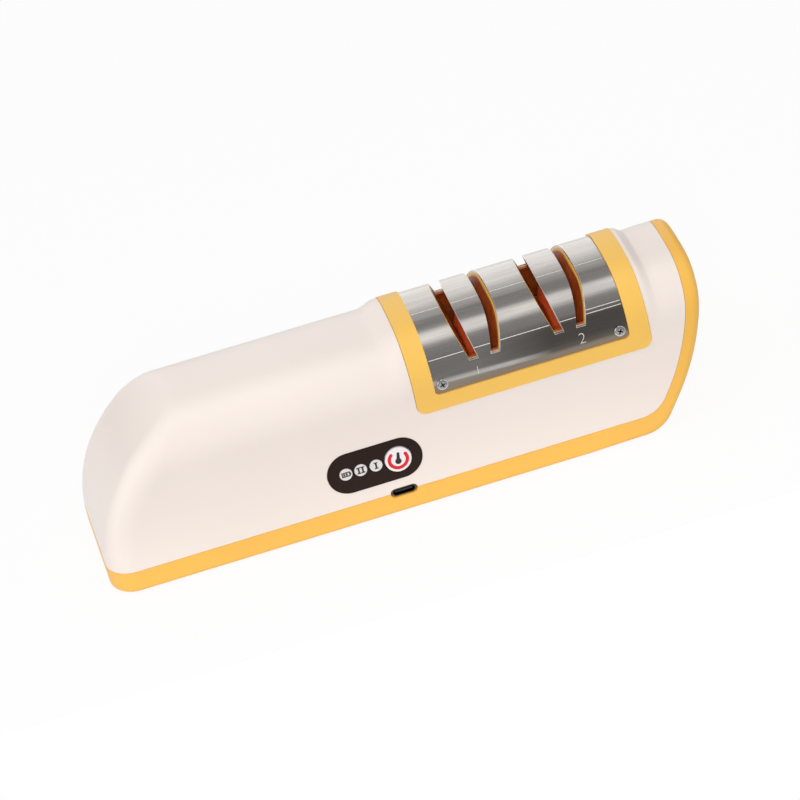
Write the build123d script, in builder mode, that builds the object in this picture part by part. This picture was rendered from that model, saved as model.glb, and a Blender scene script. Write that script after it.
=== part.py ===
from build123d import *
from math import cos, radians, sin, tan
import os

# Electric knife sharpener with two V-shaped pairs of knife slots. Millimetres, +Z up.
# The origin is under the middle of the body, on the surface that the feet stand on.
# +X runs along the body, from the handle to the rounded nose, and the panel faces -Y.

# ------------------------------------------------------------------ outer body
LENGTH = 237.6
WIDTH = 63.5  # across the underside
HEIGHT = 66.5  # top of the sharpening head's frame
BASE_Z = 0.6  # the feet hold the underside this far up
HANDLE_TOP = 63.8
GROOVE_TOP = 63.7
TAIL_TOP = 64.0
SIDE_LEAN = 5.8  # degrees that each side leans in
SHOULDER_R = 20.0
CROWN_R = 100.0
WALL = 2.2
HANDLE_END_R = 63.0  # the handle's end, seen from the side
HANDLE_END_RISE = 4.8  # it starts this far above the underside
HANDLE_RIDGE_R = 10.0  # rounding where the end meets the sides
NOSE_Z = 64.8  # the nose reaches furthest at this height
NOSE_FACE_R = 93.5  # the arc below it
NOSE_FACE_TURN = 33.7  # degrees that this arc turns
NOSE_CORNER_R = 13.5  # the nose's lower corner
NOSE_RIDGE_R = 3.0  # rounding where the nose meets the sides
BASE_EDGE_R = 2.2
BASE_EDGE_END = 66.0  # from here the base edge swells into the nose ridge
SPLIT_Z = 34.8  # below this height the sides are plain planes
SEAM_Z = 9.6  # where the white shell meets the yellow housing
SEAM_NOSE = 6.0  # width of the yellow nose, seen from the side
SEAM_CORNER_R = 12.6
SEAM_GAP = 0.15

# ------------------------------------------------------------------ sharpening head
HEAD_LEFT = 5.9
HEAD_RIGHT = 96.6
HEAD_Z = 38.0
HEAD_CORNER_R = 3.5
HEAD_PROUD = 0.3  # the frame stands out of the shell this much
HEAD_THICK = 3.2
HEAD_GAP = 0.15
BULKHEAD_INSET = 3.4  # from the head's ends to its bulkheads
HEAD_BOSS_R = 3.2
HEAD_BOSS_HEIGHT = 9.0
STEP_WIDTH = 7.0  # length of the S-shaped shoulder before the head
STEP_END = 4.6
LIP_RUN = 1.0  # flat stretch beside each blend
GROOVE_X = 101.8
TAIL_X = 107.0
COVER_LEFT = 13.8
COVER_RIGHT = 88.7
COVER_Z = 44.0
COVER_CORNER_R = 1.8
COVER_SINK = 0.4  # the sheet lies this far under the shell's surface
COVER_THICK = 0.8
COVER_GAP = 0.1
SLOT_Z = 53.3
SLOT_OFFSET = 4.15  # from the wheel's middle to the slot's middle, at the slot's bottom
SLOT_LEAN = 15.0
SLOT_WIDTH = 3.4
SLOT_TAPER = 0.08  # a slot widens by this much for each millimetre up
SLOT_RIM = 0.1  # the liner's slot is narrower than the sheet's on each side
GUIDE_Z = 46.3
GUIDE_THICK = 1.6

# ------------------------------------------------------------------ drive
SHAFT_Z = 31.8
SHAFT_R = 2.5
RUN_GAP = 0.03
BEARING_R = 5.0
BEARING_WIDTH = 4.0
SEAT_GAP = 0.02
PART_GAP = 0.3  # between pieces that move past each other
WHEEL_R = 24.0
WHEEL_WIDTH = 5.0
WHEEL_BORE_R = 6.0
HUB_FLANGE_R = 9.0
HUB_FLANGE = 1.5
SLEEVE_R = 4.0
WHEEL_SPACING = 33.0
CLIP_R = 4.6
CLIP_THICK = 0.8
COUPLING_R = 6.0
COUPLING_LENGTH = 13.0
MOTOR_R = 12.2
MOTOR_LENGTH = 26.0
MOTOR_WALL = 1.0
MOTOR_SHAFT_R = 1.15
MOTOR_CAP = 4.5
MAGNET_THICK = 2.0
ARMATURE_R = 8.6
MOTOR_BOSS_R = 3.5
MOTOR_BOSS = 1.0
TERMINAL_Y = 7.0
TERMINAL_LENGTH = 3.5
TERMINAL_WIDTH = 2.4
TERMINAL_THICK = 0.6
CRADLE_WALL = 1.4
STRAP_THICK = 1.0
STRAP_WIDTH = 8.0
EAR_WIDTH = 5.8  # of an ear beside the strap
EAR_THICK = 5.0

# ------------------------------------------------------------------ battery
CELL_R = 9.2
CELL_LENGTH = 65.0
CELL_LEFT = -107.4
HOLDER_WALL = 1.4
HOLDER_HEIGHT = 13.0
CONTACT_THICK = 0.5
CONTACT_R = 6.0
TAB_WIDTH = 3.0
TAB_TOP = 19.0

# ------------------------------------------------------------------ control panel and boards
PANEL_X = -14.2
PANEL_Z = 23.4
PANEL_LENGTH = 36.4
PANEL_WIDTH = 16.6
PANEL_THICK = 1.2
PANEL_PROUD = 0.15
PANEL_GAP = 0.1
BUTTON_X = 8.9  # from the panel's middle
BUTTON_R = 5.0
BUTTON_PROUD = 0.5
BUTTON_TRAVEL = 0.8
BUTTON_FLANGE = 0.8
BUTTON_STEM_R = 1.6
PLUNGER_LENGTH = 1.5
LENS_X = (-11.2, -5.5, 0.4)
LENS_R = 2.4
LENS_GAP = 0.1
LENS_PROUD = 0.3
LENS_DEPTH = 2.0
LED_SIZE = 2.0
LED_HEIGHT = 2.6
SWITCH_SIZE = 6.0
SWITCH_HEIGHT = 3.4
SWITCH_BOARD_DEPTH = 7.6
SWITCH_BOARD_LENGTH = 42.0
SWITCH_BOARD_WIDTH = 14.0
SWITCH_BOARD_THICK = 1.0
SWITCH_POST_X = 18.6
BOARD_THICK = 1.6
PORT_X = -5.75
PORT_LENGTH = 10.4
PORT_HEIGHT = 3.7
SOCKET_LENGTH = 9.2
SOCKET_HEIGHT = 3.2
SOCKET_DEPTH = 7.4
SOCKET_WALL = 0.3
TONGUE_LENGTH = 6.7
TONGUE_HEIGHT = 0.7
SOCKET_SINK = 0.4  # the socket's mouth lies this far inside the wall
MAIN_BOARD_LENGTH = 35.0
MAIN_BOARD_WIDTH = 13.6
BOARD_SETBACK = 2.2  # from the socket's mouth to the board's edge
BOARD_POST_R = 2.2
BOARD_SCREW_X = 14.8  # from the main board's middle
BOARD_SCREW_INSET = 2.8  # from its inner edge
BOARD_SCREW_R = 0.9
BOARD_SCREW_HEAD_R = 1.7
BOARD_SCREW_HEAD = 1.0
BOARD_SCREW_LENGTH = 4.0
CHIP_SIZE = 6.0
CHIP_HEIGHT = 1.2
COIL_R = 3.2
COIL_HEIGHT = 3.6

# ------------------------------------------------------------------ screws and feet
FOOT_R = 5.0
FOOT_HEIGHT = 1.8
FOOT_X = (-102.0, 66.0)
FOOT_INSET = 11.2  # from the side to the foot's middle
POST_R = 3.6
POST_X = (-87.0, 78.0)
POST_INSET = 10.7
POST_TOP = 24.0
POST_WEB = 2.4
HEAD_POST_Y = 16.5
WELL_R = 2.7
WELL_FLOOR = 2.4  # plastic left under a screw's head
SCREW_R = 1.3
SCREW_HEAD_R = 2.3
SCREW_HEAD = 1.4
SCREW_LENGTH = 11.0
SCREW_PLAY = 0.2  # around a screw where it passes through
COVER_SCREW_R = 1.0
COVER_SCREW_HEAD_R = 2.2
COVER_SCREW_HEAD = 0.9
COVER_SCREW_LENGTH = 6.0
COVER_SCREW_INSET = 3.2  # from the sheet's upright edges
COVER_SCREW_RISE = 3.6  # from its bottom edge
COVER_BOSS_R = 2.4
COVER_BOSS_DEPTH = 7.5

# ------------------------------------------------------------------ leads
LEAD_R = 0.6

# ------------------------------------------------------------------ worked out
LEAN = radians(SIDE_LEAN)
FLOOR_Z = BASE_Z + WALL
HALF = LENGTH / 2
ROOF = 2 * HEIGHT  # any height above the body
BEAM = WIDTH  # any length that reaches past both sides
HUMP_TOP = HEIGHT - HEAD_PROUD
STEP_START = STEP_END - STEP_WIDTH
LIP_X = HEAD_RIGHT + LIP_RUN
HUMP_LEFT = STEP_START - LIP_RUN
HUMP_RIGHT = TAIL_X + LIP_RUN
HEAD_DEPTH = HEAD_THICK - HEAD_PROUD  # the head's inner face, as a depth under the shell's
LINER_DEPTH = COVER_SINK + COVER_THICK  # the face that the steel cover lies on
COVER_MID = (COVER_LEFT + COVER_RIGHT) / 2
WHEEL_X = (COVER_MID - WHEEL_SPACING / 2, COVER_MID + WHEEL_SPACING / 2)
SLOTS = [(x, side) for x in WHEEL_X for side in (-1, 1)]
BULKHEAD_X = (
    HEAD_LEFT + BULKHEAD_INSET + BEARING_WIDTH / 2,
    HEAD_RIGHT - BULKHEAD_INSET - BEARING_WIDTH / 2,
)
LEFT_FACE = BULKHEAD_X[0] + BEARING_WIDTH / 2  # the bearings' inner faces
RIGHT_FACE = BULKHEAD_X[1] - BEARING_WIDTH / 2
SHAFT_RIGHT = RIGHT_FACE + BEARING_WIDTH + PART_GAP + 2 * CLIP_THICK
RIB_TOP = SHAFT_Z - HEAD_GAP
HEAD_SEAT_Z = RIB_TOP - WELL_FLOOR
SHELL_SEAT_Z = SEAM_Z - WELL_FLOOR
COUPLING_RIGHT = BULKHEAD_X[0] - BEARING_WIDTH / 2 - 2 * PART_GAP
COUPLING_LEFT = COUPLING_RIGHT - COUPLING_LENGTH
COUPLING_MID = (COUPLING_LEFT + COUPLING_RIGHT) / 2
MOTOR_FRONT = COUPLING_LEFT - MOTOR_BOSS - 2 * PART_GAP
MOTOR_BACK = MOTOR_FRONT - MOTOR_LENGTH
MOTOR_END = MOTOR_BACK - MOTOR_CAP
CRADLE_X = (MOTOR_FRONT + MOTOR_BACK) / 2
EAR_REACH = MOTOR_R + STRAP_THICK + EAR_WIDTH
STRAP_SCREW_Y = EAR_REACH - EAR_WIDTH / 2
MAGNET_R = MOTOR_R - MOTOR_WALL
CELL_Z = FLOOR_Z + HOLDER_WALL + CELL_R
CELL_RIGHT = CELL_LEFT + CELL_LENGTH
BOARD_TOP = SEAM_Z - SOCKET_HEIGHT / 2
BOARD_BOTTOM = BOARD_TOP - BOARD_THICK
MAIN_BOARD_X = PORT_X - SOCKET_LENGTH / 2
FOOT_Y = WIDTH / 2 - FOOT_INSET
POST_Y = WIDTH / 2 - POST_INSET


def half_width(z, inset=0.0):
    """Half the body's width at the height z, measured inset under its surface."""
    return WIDTH / 2 - inset / cos(LEAN) - (z - BASE_Z) * tan(LEAN)


SOCKET_MOUTH = SOCKET_SINK - half_width(SEAM_Z)
SOCKET_BACK = SOCKET_MOUTH + SOCKET_DEPTH
MAIN_BOARD_Y = SOCKET_MOUTH + BOARD_SETBACK + MAIN_BOARD_WIDTH / 2
BOARD_SCREW_Y = MAIN_BOARD_Y + MAIN_BOARD_WIDTH / 2 - BOARD_SCREW_INSET


def flank(low, high, inset=0.0):
    """Outline of the plain lower section between two heights; use inside BuildLine."""
    Polyline(
        (half_width(low, inset), low),
        (half_width(high, inset), high),
        (-half_width(high, inset), high),
        (-half_width(low, inset), low),
        close=True,
    )


def cross_section(x, top, inset=0.0, low=SPLIT_Z):
    """Arched section at x: leaning sides, round shoulders and a gentle crown."""
    with BuildSketch(Plane.YZ.offset(x), mode=Mode.PRIVATE) as section:
        with BuildLine():
            flank(low, top + SHOULDER_R, inset)
        make_face()
        with Locations((0, top - CROWN_R)):
            Circle(CROWN_R - inset, mode=Mode.INTERSECT)
        fillet(section.vertices().group_by(Axis.Y)[-1], SHOULDER_R - inset)
    return section.sketch


def base_section(x, low, inset=0.0, edge_r=0.0):
    """Section at x below the split height; edge_r rounds its two bottom corners."""
    with BuildSketch(Plane.YZ.offset(x), mode=Mode.PRIVATE) as section:
        with BuildLine():
            flank(low, SPLIT_Z, inset)
        make_face()
        if edge_r:
            fillet(section.vertices().group_by(Axis.Y)[0], edge_r)
    return section.sketch


def nose_edge(inset, low, corner_r):
    """Draw the nose's edge from its tip down to the height low; return its two ends."""
    turn = radians(NOSE_FACE_TURN)
    face_r = NOSE_FACE_R - inset
    start = Line((HALF - inset, NOSE_Z + 1), (HALF - inset, NOSE_Z))
    face = JernArc(start @ 1, start % 1, face_r, -NOSE_FACE_TURN)
    drop = NOSE_Z - low - face_r * sin(turn) - corner_r * (1 - sin(turn))
    edge = Line(face @ 1, face @ 1 + face % 1 * (drop / cos(turn)))
    corner = JernArc(edge @ 1, edge % 1, corner_r, NOSE_FACE_TURN - 90)
    return start @ 0, corner @ 1


def side_outline(inset=0.0):
    """The body seen from the side: rounded handle end, flat underside and round nose."""
    low = BASE_Z + inset
    with BuildSketch(Plane.XZ, mode=Mode.PRIVATE) as outline:
        with BuildLine():
            start = Line((-HALF + inset, low), (-HALF + inset, BASE_Z + HANDLE_END_RISE))
            handle = JernArc(start @ 1, (0, 1), HANDLE_END_R - inset, -85)
            tip, flat_end = nose_edge(inset, low, NOSE_CORNER_R - inset)
            Line(start @ 0, flat_end)
            Polyline(tip, (tip.X, ROOF), ((handle @ 1).X, ROOF), handle @ 1)
        make_face()
    return outline.sketch


def below_seam(gap=0.0):
    """Everything under the seam and in front of it, seen from the side."""
    low = SEAM_Z + gap
    with BuildSketch(Plane.XZ, mode=Mode.PRIVATE) as region:
        with BuildLine():
            tip, flat_end = nose_edge(SEAM_NOSE + gap, low, SEAM_CORNER_R - gap)
            Polyline(
                tip,
                (tip.X, ROOF),
                (LENGTH, ROOF),
                (LENGTH, -LENGTH),
                (-LENGTH, -LENGTH),
                (-LENGTH, low),
                flat_end,
            )
        make_face()
    return region.sketch


def blend(start, end, low, high, steps=6):
    """Stations of a smooth rise or fall in the body's top, from start to end."""
    share = [step / steps for step in range(steps + 1)]
    return [(start + (end - start) * u, low + (high - low) * u * u * (3 - 2 * u)) for u in share]


def hump(inset=0.0):
    """The upper middle of the body: the shoulder, the head's bed, the groove and the tail."""
    rise = [(HUMP_LEFT, HANDLE_TOP)]
    rise += blend(STEP_START, STEP_END, HANDLE_TOP, HUMP_TOP)
    rise += [(STEP_END + LIP_RUN, HUMP_TOP)]
    fall = [(HEAD_RIGHT, HUMP_TOP)]
    fall += blend(LIP_X, GROOVE_X, HUMP_TOP, GROOVE_TOP)
    fall += blend(GROOVE_X, TAIL_X, GROOVE_TOP, TAIL_TOP)[1:]
    fall += [(HUMP_RIGHT, TAIL_TOP)]
    with BuildPart() as middle:
        loft([cross_section(x, top, inset) for x, top in rise])
        bed = cross_section(STEP_END + LIP_RUN, HUMP_TOP, inset)
        extrude(bed, amount=HEAD_RIGHT - STEP_END - LIP_RUN)
        loft([cross_section(x, top, inset) for x, top in fall])
    return middle.part


def body_end(left, right, swell, top, inset=0.0):
    """One end of the body, trimmed to the side outline; swell is where its plain base ends."""
    start = left if left < 0 else swell
    stop = swell if left < 0 else right
    with BuildPart() as block:
        extrude(cross_section(left, top, inset), amount=right - left)
        extrude(base_section(start, -ROOF, inset), amount=stop - start)
        extrude(side_outline(inset), amount=BEAM, both=True, mode=Mode.INTERSECT)
    return block.part


def closed_body(inset=0.0):
    """The whole body as one solid: the outer form, or with inset the room inside it."""
    swell_end = FLAT_END - NOSE_RIDGE_R / 2
    left_end = body_end(-HALF - 1, HUMP_LEFT, BASE_EDGE_END, HANDLE_TOP, inset)
    right_end = body_end(HUMP_RIGHT, HALF + 1, swell_end, TAIL_TOP, inset)
    with BuildPart() as handle:
        add(left_end)
        corners = handle.edges().filter_by(lambda e: e.center().X < inset + 0.01 - HALF)
        fillet(corners.filter_by(lambda e: abs(e.center().Y) > WIDTH / 4), HANDLE_RIDGE_R - inset)
        if not inset:
            underside = handle.faces().sort_by(Axis.Z)[0]
            rim = underside.edges().filter_by(lambda e: e.center().X < BASE_EDGE_END - 0.01)
            fillet(rim, BASE_EDGE_R)
    with BuildPart() as nose:
        add(right_end)
        if not inset:
            underside = nose.faces().sort_by(Axis.Z)[0]
            fillet(underside.edges().filter_by(Axis.X), NOSE_RIDGE_R)
    middle = hump(inset)
    low = BASE_Z + inset
    swell = [
        base_section(BASE_EDGE_END, low, inset, 0 if inset else BASE_EDGE_R),
        base_section(swell_end, low, inset, 0 if inset else NOSE_RIDGE_R),
    ]
    with BuildPart() as body:
        add(handle.part)
        add(nose.part)
        add(middle)
        loft(swell)
    return body.part


def window(left, right, low, corner_r):
    """A tall opening seen from the side, with its two lower corners rounded."""
    with BuildSketch(Plane.XZ, mode=Mode.PRIVATE) as opening:
        with BuildLine():
            Polyline((left, low), (right, low), (right, ROOF), (left, ROOF), close=True)
        make_face()
        fillet(opening.vertices().group_by(Axis.Y)[0], corner_r)
    return opening.sketch


def arch(left, right, low, corner_r, outer_depth, inner_depth):
    """A sheet bent over the hump between two depths, with rounded lower corners."""
    opening = window(left, right, low, corner_r)
    with BuildPart() as sheet:
        extrude(cross_section(left, HUMP_TOP, outer_depth, SHAFT_Z), amount=right - left)
        hollow = cross_section(left, HUMP_TOP, inner_depth, SHAFT_Z)
        extrude(hollow, amount=right - left, mode=Mode.SUBTRACT)
        extrude(opening, amount=BEAM, both=True, mode=Mode.INTERSECT)
    return sheet.part


def slot_half(z, rim=0.0):
    """Half a slot's width at the height z."""
    return SLOT_WIDTH / 2 - rim + SLOT_TAPER * (z - SLOT_Z) / 2


def slot_point(x, side, z, reach):
    """Point at the height z, reach away from a slot's middle on the side off its wheel."""
    middle = SLOT_OFFSET + (z - SLOT_Z) * tan(radians(SLOT_LEAN))
    return x + side * (middle + reach), z


def leaning_strip(x, side, low, near, far):
    """Strip that leans with a slot, from the height low to above the body."""
    high = HEIGHT + SHOULDER_R
    with BuildSketch(Plane.XZ, mode=Mode.PRIVATE) as strip:
        with BuildLine():
            Polyline(
                slot_point(x, side, low, near(low)),
                slot_point(x, side, low, far(low)),
                slot_point(x, side, high, far(high)),
                slot_point(x, side, high, near(high)),
                close=True,
            )
        make_face()
    return strip.sketch


def knife_slot(x, side, rim=0.0):
    """One knife slot, seen from the side."""
    return leaning_strip(
        x, side, SLOT_Z + rim, lambda z: -slot_half(z, rim), lambda z: slot_half(z, rim)
    )


def guide_wall(x, side):
    """The wall that a blade slides along, on the side of its slot off the wheel."""
    return leaning_strip(
        x,
        side,
        GUIDE_Z,
        lambda z: slot_half(z, SLOT_RIM),
        lambda z: slot_half(z, SLOT_RIM) + GUIDE_THICK,
    )


def side_plane(x, z, depth, side=-1):
    """Plane lying depth under the leaning side; its normal points out of the body."""
    outward = Vector(0, side * cos(LEAN), sin(LEAN))
    surface = Vector(x, side * half_width(z), z)
    return Plane(origin=surface - outward * depth, x_dir=(-side, 0, 0), z_dir=outward)


def panel_plane(depth):
    """Plane under the control panel's middle, depth under the shell's surface."""
    return side_plane(PANEL_X, PANEL_Z, depth)


def turned(start, end, outer_r, bore_r=0.0, center=(0, SHAFT_Z), mode=Mode.ADD):
    """A round piece about an axis along X, in the part that is being built."""
    with BuildSketch(Plane.YZ.offset(start)) as ring:
        with Locations(center):
            Circle(outer_r)
            if bore_r:
                Circle(bore_r, mode=Mode.SUBTRACT)
    extrude(ring.sketch, amount=end - start, mode=mode)


def drilled(plane, spots, radius, depth, mode=Mode.SUBTRACT):
    """Round holes, or pegs, that start on a plane and run along its normal."""
    with BuildSketch(plane) as circles:
        with Locations(*spots):
            Circle(radius)
    extrude(circles.sketch, amount=depth, mode=mode)


def screw(length, shank_r, head_r, head_height):
    """A pan-head screw with a cross recess, its head on top of the XY plane."""
    recess = head_r * 0.3
    with BuildPart() as blank:
        Cylinder(head_r, head_height, align=(Align.CENTER, Align.CENTER, Align.MIN))
        fillet(blank.edges().group_by(Axis.Z)[-1], head_height * 0.5)
        with Locations((0, 0, head_height)):
            Box(recess * 4, recess, head_height, mode=Mode.SUBTRACT)
            Box(recess, recess * 4, head_height, mode=Mode.SUBTRACT)
        Cylinder(shank_r, length, align=(Align.CENTER, Align.CENTER, Align.MAX))
    return blank.part


def lead(*points):
    """A thin insulated lead along its points, each bend as wide as its runs allow."""
    runs = [Vector(b) - Vector(a) for a, b in zip(points, points[1:])]
    radii = [
        0.45 * min(a.length, b.length) / tan(radians(a.get_angle(b)) / 2)
        for a, b in zip(runs, runs[1:])
    ]
    with BuildLine() as path:
        FilletPolyline(*points, radius=radii)
    with BuildSketch(Plane(path.line @ 0, z_dir=path.line % 0)) as end:
        Circle(LEAD_R)
    sweep(end.sketch, path=path.line)


os.makedirs("parts", exist_ok=True)

# Where the flat underside ends and the nose begins to rise.
with BuildLine() as nose_line:
    FLAT_END = nose_edge(0, BASE_Z, NOSE_CORNER_R)[1].X

outer = closed_body()
inner = closed_body(WALL)

with BuildPart() as skin:
    add(outer)
    add(inner, mode=Mode.SUBTRACT)

with BuildPart() as tray_skin:
    add(skin.part)
    extrude(below_seam(), amount=BEAM, both=True, mode=Mode.INTERSECT)

with BuildPart() as shell_skin:
    add(skin.part)
    extrude(below_seam(SEAM_GAP), amount=BEAM, both=True, mode=Mode.SUBTRACT)

# Spots of the upright screws, seen from above.
shell_screws = [(x, side * POST_Y) for x in POST_X for side in (-1, 1)]
head_screws = [(x, side * HEAD_POST_Y) for x in BULKHEAD_X for side in (-1, 1)]
strap_screws_at = [(CRADLE_X, side * STRAP_SCREW_Y) for side in (-1, 1)]
board_screws_at = [(MAIN_BOARD_X + side * BOARD_SCREW_X, BOARD_SCREW_Y) for side in (-1, 1)]
feet_at = [(x, side * FOOT_Y) for x in FOOT_X for side in (-1, 1)]
switch_posts = [(-SWITCH_POST_X, 0), (SWITCH_POST_X, 0)]
lens_spots = [(x, 0) for x in LENS_X]
cover_screw_planes = [
    side_plane(x, COVER_Z + COVER_SCREW_RISE, COVER_SINK, side)
    for x in (COVER_LEFT + COVER_SCREW_INSET, COVER_RIGHT - COVER_SCREW_INSET)
    for side in (-1, 1)
]

# ------------------------------------------------------------------ lower housing
# The yellow tray and nose, with posts for the screws and ribs for motor and shaft.
with BuildPart() as lower_housing:
    drilled(Plane.XY, shell_screws, POST_R, SEAM_Z, Mode.ADD)
    drilled(Plane.XY, head_screws, POST_R, RIB_TOP, Mode.ADD)
    drilled(Plane.XY, board_screws_at, BOARD_POST_R, BOARD_BOTTOM, Mode.ADD)
    with BuildSketch():
        with Locations(*[(x, 0) for x in BULKHEAD_X]):
            Rectangle(BEARING_WIDTH, 2 * HEAD_POST_Y)
        with Locations((CRADLE_X, 0)):
            Rectangle(STRAP_WIDTH, 2 * (MOTOR_R + CRADLE_WALL))
    extrude(amount=RIB_TOP)
    with BuildSketch(Plane.XY.offset(RIB_TOP - EAR_THICK)):
        with Locations((CRADLE_X, 0)):
            Rectangle(STRAP_WIDTH, 2 * EAR_REACH)
    extrude(amount=EAR_THICK)
    with BuildSketch(Plane.XY.offset(BOARD_BOTTOM)):
        with Locations((MAIN_BOARD_X, MAIN_BOARD_Y)):
            Rectangle(MAIN_BOARD_LENGTH + 2 * PART_GAP, MAIN_BOARD_WIDTH + 2 * PART_GAP)
    extrude(amount=BOARD_THICK + COIL_HEIGHT + PART_GAP, mode=Mode.SUBTRACT)
    add(outer, mode=Mode.INTERSECT)
    add(tray_skin.part)
    for x in BULKHEAD_X:
        seat = BEARING_R + SEAT_GAP
        turned(x - BEARING_WIDTH, x + BEARING_WIDTH, seat, mode=Mode.SUBTRACT)
    turned(MOTOR_BACK, MOTOR_FRONT, MOTOR_R + SEAT_GAP, mode=Mode.SUBTRACT)
    drilled(Plane.XY, shell_screws, WELL_R, SHELL_SEAT_Z)
    drilled(Plane.XY, head_screws, WELL_R, HEAD_SEAT_Z)
    drilled(Plane.XY, shell_screws + head_screws, SCREW_R + SCREW_PLAY, SHAFT_Z)
    drilled(Plane.XY.offset(RIB_TOP), strap_screws_at, SCREW_R + SEAT_GAP, -EAR_THICK)
    drilled(Plane.XY.offset(FLOOR_Z), board_screws_at, BOARD_SCREW_R + SEAT_GAP, BOARD_TOP)
    drilled(Plane.XY, feet_at, FOOT_R + HEAD_GAP, FOOT_HEIGHT)
    with BuildSketch(Plane.XZ.offset(-SOCKET_BACK)):
        with Locations((PORT_X, SEAM_Z)):
            SlotOverall(PORT_LENGTH, PORT_HEIGHT)
    extrude(amount=BEAM, mode=Mode.SUBTRACT)
lower_housing.part.label = "lower_housing"
export_step(lower_housing.part, "parts/lower_housing.step")

# ------------------------------------------------------------------ upper shell
# The white shell, open where the sharpening head comes through it.
with BuildPart() as upper_shell:
    with BuildSketch(Plane.XY.offset(SEAM_Z + SEAM_GAP)):
        with Locations(*shell_screws):
            Circle(POST_R)
        with Locations(*[(x, side * (POST_Y + BEAM / 4)) for x in POST_X for side in (-1, 1)]):
            Rectangle(POST_WEB, BEAM / 2)
    extrude(amount=POST_TOP - SEAM_Z)
    drilled(panel_plane(SWITCH_BOARD_DEPTH), switch_posts, BOARD_POST_R, SWITCH_BOARD_DEPTH, Mode.ADD)
    add(outer, mode=Mode.INTERSECT)
    add(shell_skin.part)
    head_window = window(
        HEAD_LEFT - HEAD_GAP, HEAD_RIGHT + HEAD_GAP, HEAD_Z - HEAD_GAP, HEAD_CORNER_R + HEAD_GAP
    )
    extrude(head_window, amount=BEAM, both=True, mode=Mode.SUBTRACT)
    with BuildSketch(panel_plane(PANEL_THICK)):
        SlotOverall(PANEL_LENGTH + 2 * PANEL_GAP, PANEL_WIDTH + 2 * PANEL_GAP)
    extrude(amount=2 * PANEL_THICK, mode=Mode.SUBTRACT)
    drilled(panel_plane(WALL + 1), [(BUTTON_X, 0)], BUTTON_R + PART_GAP, 2 * WALL)
    drilled(panel_plane(WALL + 1), lens_spots, LENS_R + LENS_GAP, 2 * WALL)
    screw_hole = BOARD_SCREW_R + SEAT_GAP
    drilled(panel_plane(SWITCH_BOARD_DEPTH), switch_posts, screw_hole, BOARD_SCREW_LENGTH)
    drilled(Plane.XY.offset(SEAM_Z), shell_screws, SCREW_R + SEAT_GAP, SCREW_LENGTH)
    with BuildSketch(Plane.XZ.offset(-SOCKET_BACK)):
        with Locations((PORT_X, SEAM_Z)):
            SlotOverall(PORT_LENGTH, PORT_HEIGHT)
    extrude(amount=BEAM, mode=Mode.SUBTRACT)
upper_shell.part.label = "upper_shell"
export_step(upper_shell.part, "parts/upper_shell.step")

# ------------------------------------------------------------------ sharpening head
# One yellow moulding: the frame around the steel, the slotted liner under it, the
# walls that guide the blades, and two bulkheads that hold the bearings from above.
head_sheet = arch(HEAD_LEFT, HEAD_RIGHT, HEAD_Z, HEAD_CORNER_R, -HEAD_PROUD, HEAD_DEPTH)
cover_bed = arch(
    COVER_LEFT - COVER_GAP,
    COVER_RIGHT + COVER_GAP,
    COVER_Z - COVER_GAP,
    COVER_CORNER_R + COVER_GAP,
    -HEAD_THICK,
    LINER_DEPTH,
)
with BuildPart() as head_housing:
    for x, side in SLOTS:
        extrude(guide_wall(x, side), amount=BEAM, both=True)
    for x in BULKHEAD_X:
        with BuildSketch(Plane.YZ.offset(x - BEARING_WIDTH / 2)):
            Rectangle(BEAM, HEIGHT, align=(Align.CENTER, Align.MIN))
        extrude(amount=BEARING_WIDTH)
    for plane in cover_screw_planes:
        drilled(plane, [(0, 0)], COVER_BOSS_R, -COVER_BOSS_DEPTH, Mode.ADD)
    drilled(Plane.XY, head_screws, HEAD_BOSS_R, SHAFT_Z + HEAD_BOSS_HEIGHT, Mode.ADD)
    bore = cross_section(HEAD_LEFT, HUMP_TOP, HEAD_DEPTH - HEAD_GAP, SHAFT_Z)
    extrude(bore, amount=HEAD_RIGHT - HEAD_LEFT, mode=Mode.INTERSECT)
    add(head_sheet)
    add(cover_bed, mode=Mode.SUBTRACT)
    for x, side in SLOTS:
        extrude(knife_slot(x, side, SLOT_RIM), amount=BEAM, both=True, mode=Mode.SUBTRACT)
    for plane in cover_screw_planes:
        drilled(plane, [(0, 0)], COVER_SCREW_R + SEAT_GAP, -COVER_BOSS_DEPTH)
    for x in BULKHEAD_X:
        turned(x - BEARING_WIDTH, x + BEARING_WIDTH, BEARING_R + SEAT_GAP, mode=Mode.SUBTRACT)
    drilled(Plane.XY, head_screws, SCREW_R + SEAT_GAP, HEAD_SEAT_Z + SCREW_LENGTH)
head_housing.part.label = "head_housing"
export_step(head_housing.part, "parts/head_housing.step")

# ------------------------------------------------------------------ steel cover
cover_sheet = arch(
    COVER_LEFT, COVER_RIGHT, COVER_Z, COVER_CORNER_R, COVER_SINK, LINER_DEPTH
)
with BuildPart() as steel_cover:
    add(cover_sheet)
    for x, side in SLOTS:
        extrude(knife_slot(x, side), amount=BEAM, both=True, mode=Mode.SUBTRACT)
    for plane in cover_screw_planes:
        drilled(plane, [(0, 0)], COVER_SCREW_R + LENS_GAP, -COVER_BOSS_DEPTH)
steel_cover.part.label = "steel_cover"
export_step(steel_cover.part, "parts/steel_cover.step")

cover_screw = screw(COVER_SCREW_LENGTH, COVER_SCREW_R, COVER_SCREW_HEAD_R, COVER_SCREW_HEAD)
with BuildPart() as cover_screws:
    with Locations(*cover_screw_planes):
        add(cover_screw)
cover_screws.part.label = "cover_screws"
export_step(cover_screws.part, "parts/cover_screws.step")

# ------------------------------------------------------------------ wheels and shaft
with BuildPart() as drive_shaft:
    turned(COUPLING_MID + PART_GAP, SHAFT_RIGHT, SHAFT_R)
drive_shaft.part.label = "drive_shaft"
export_step(drive_shaft.part, "parts/drive_shaft.step")

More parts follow.
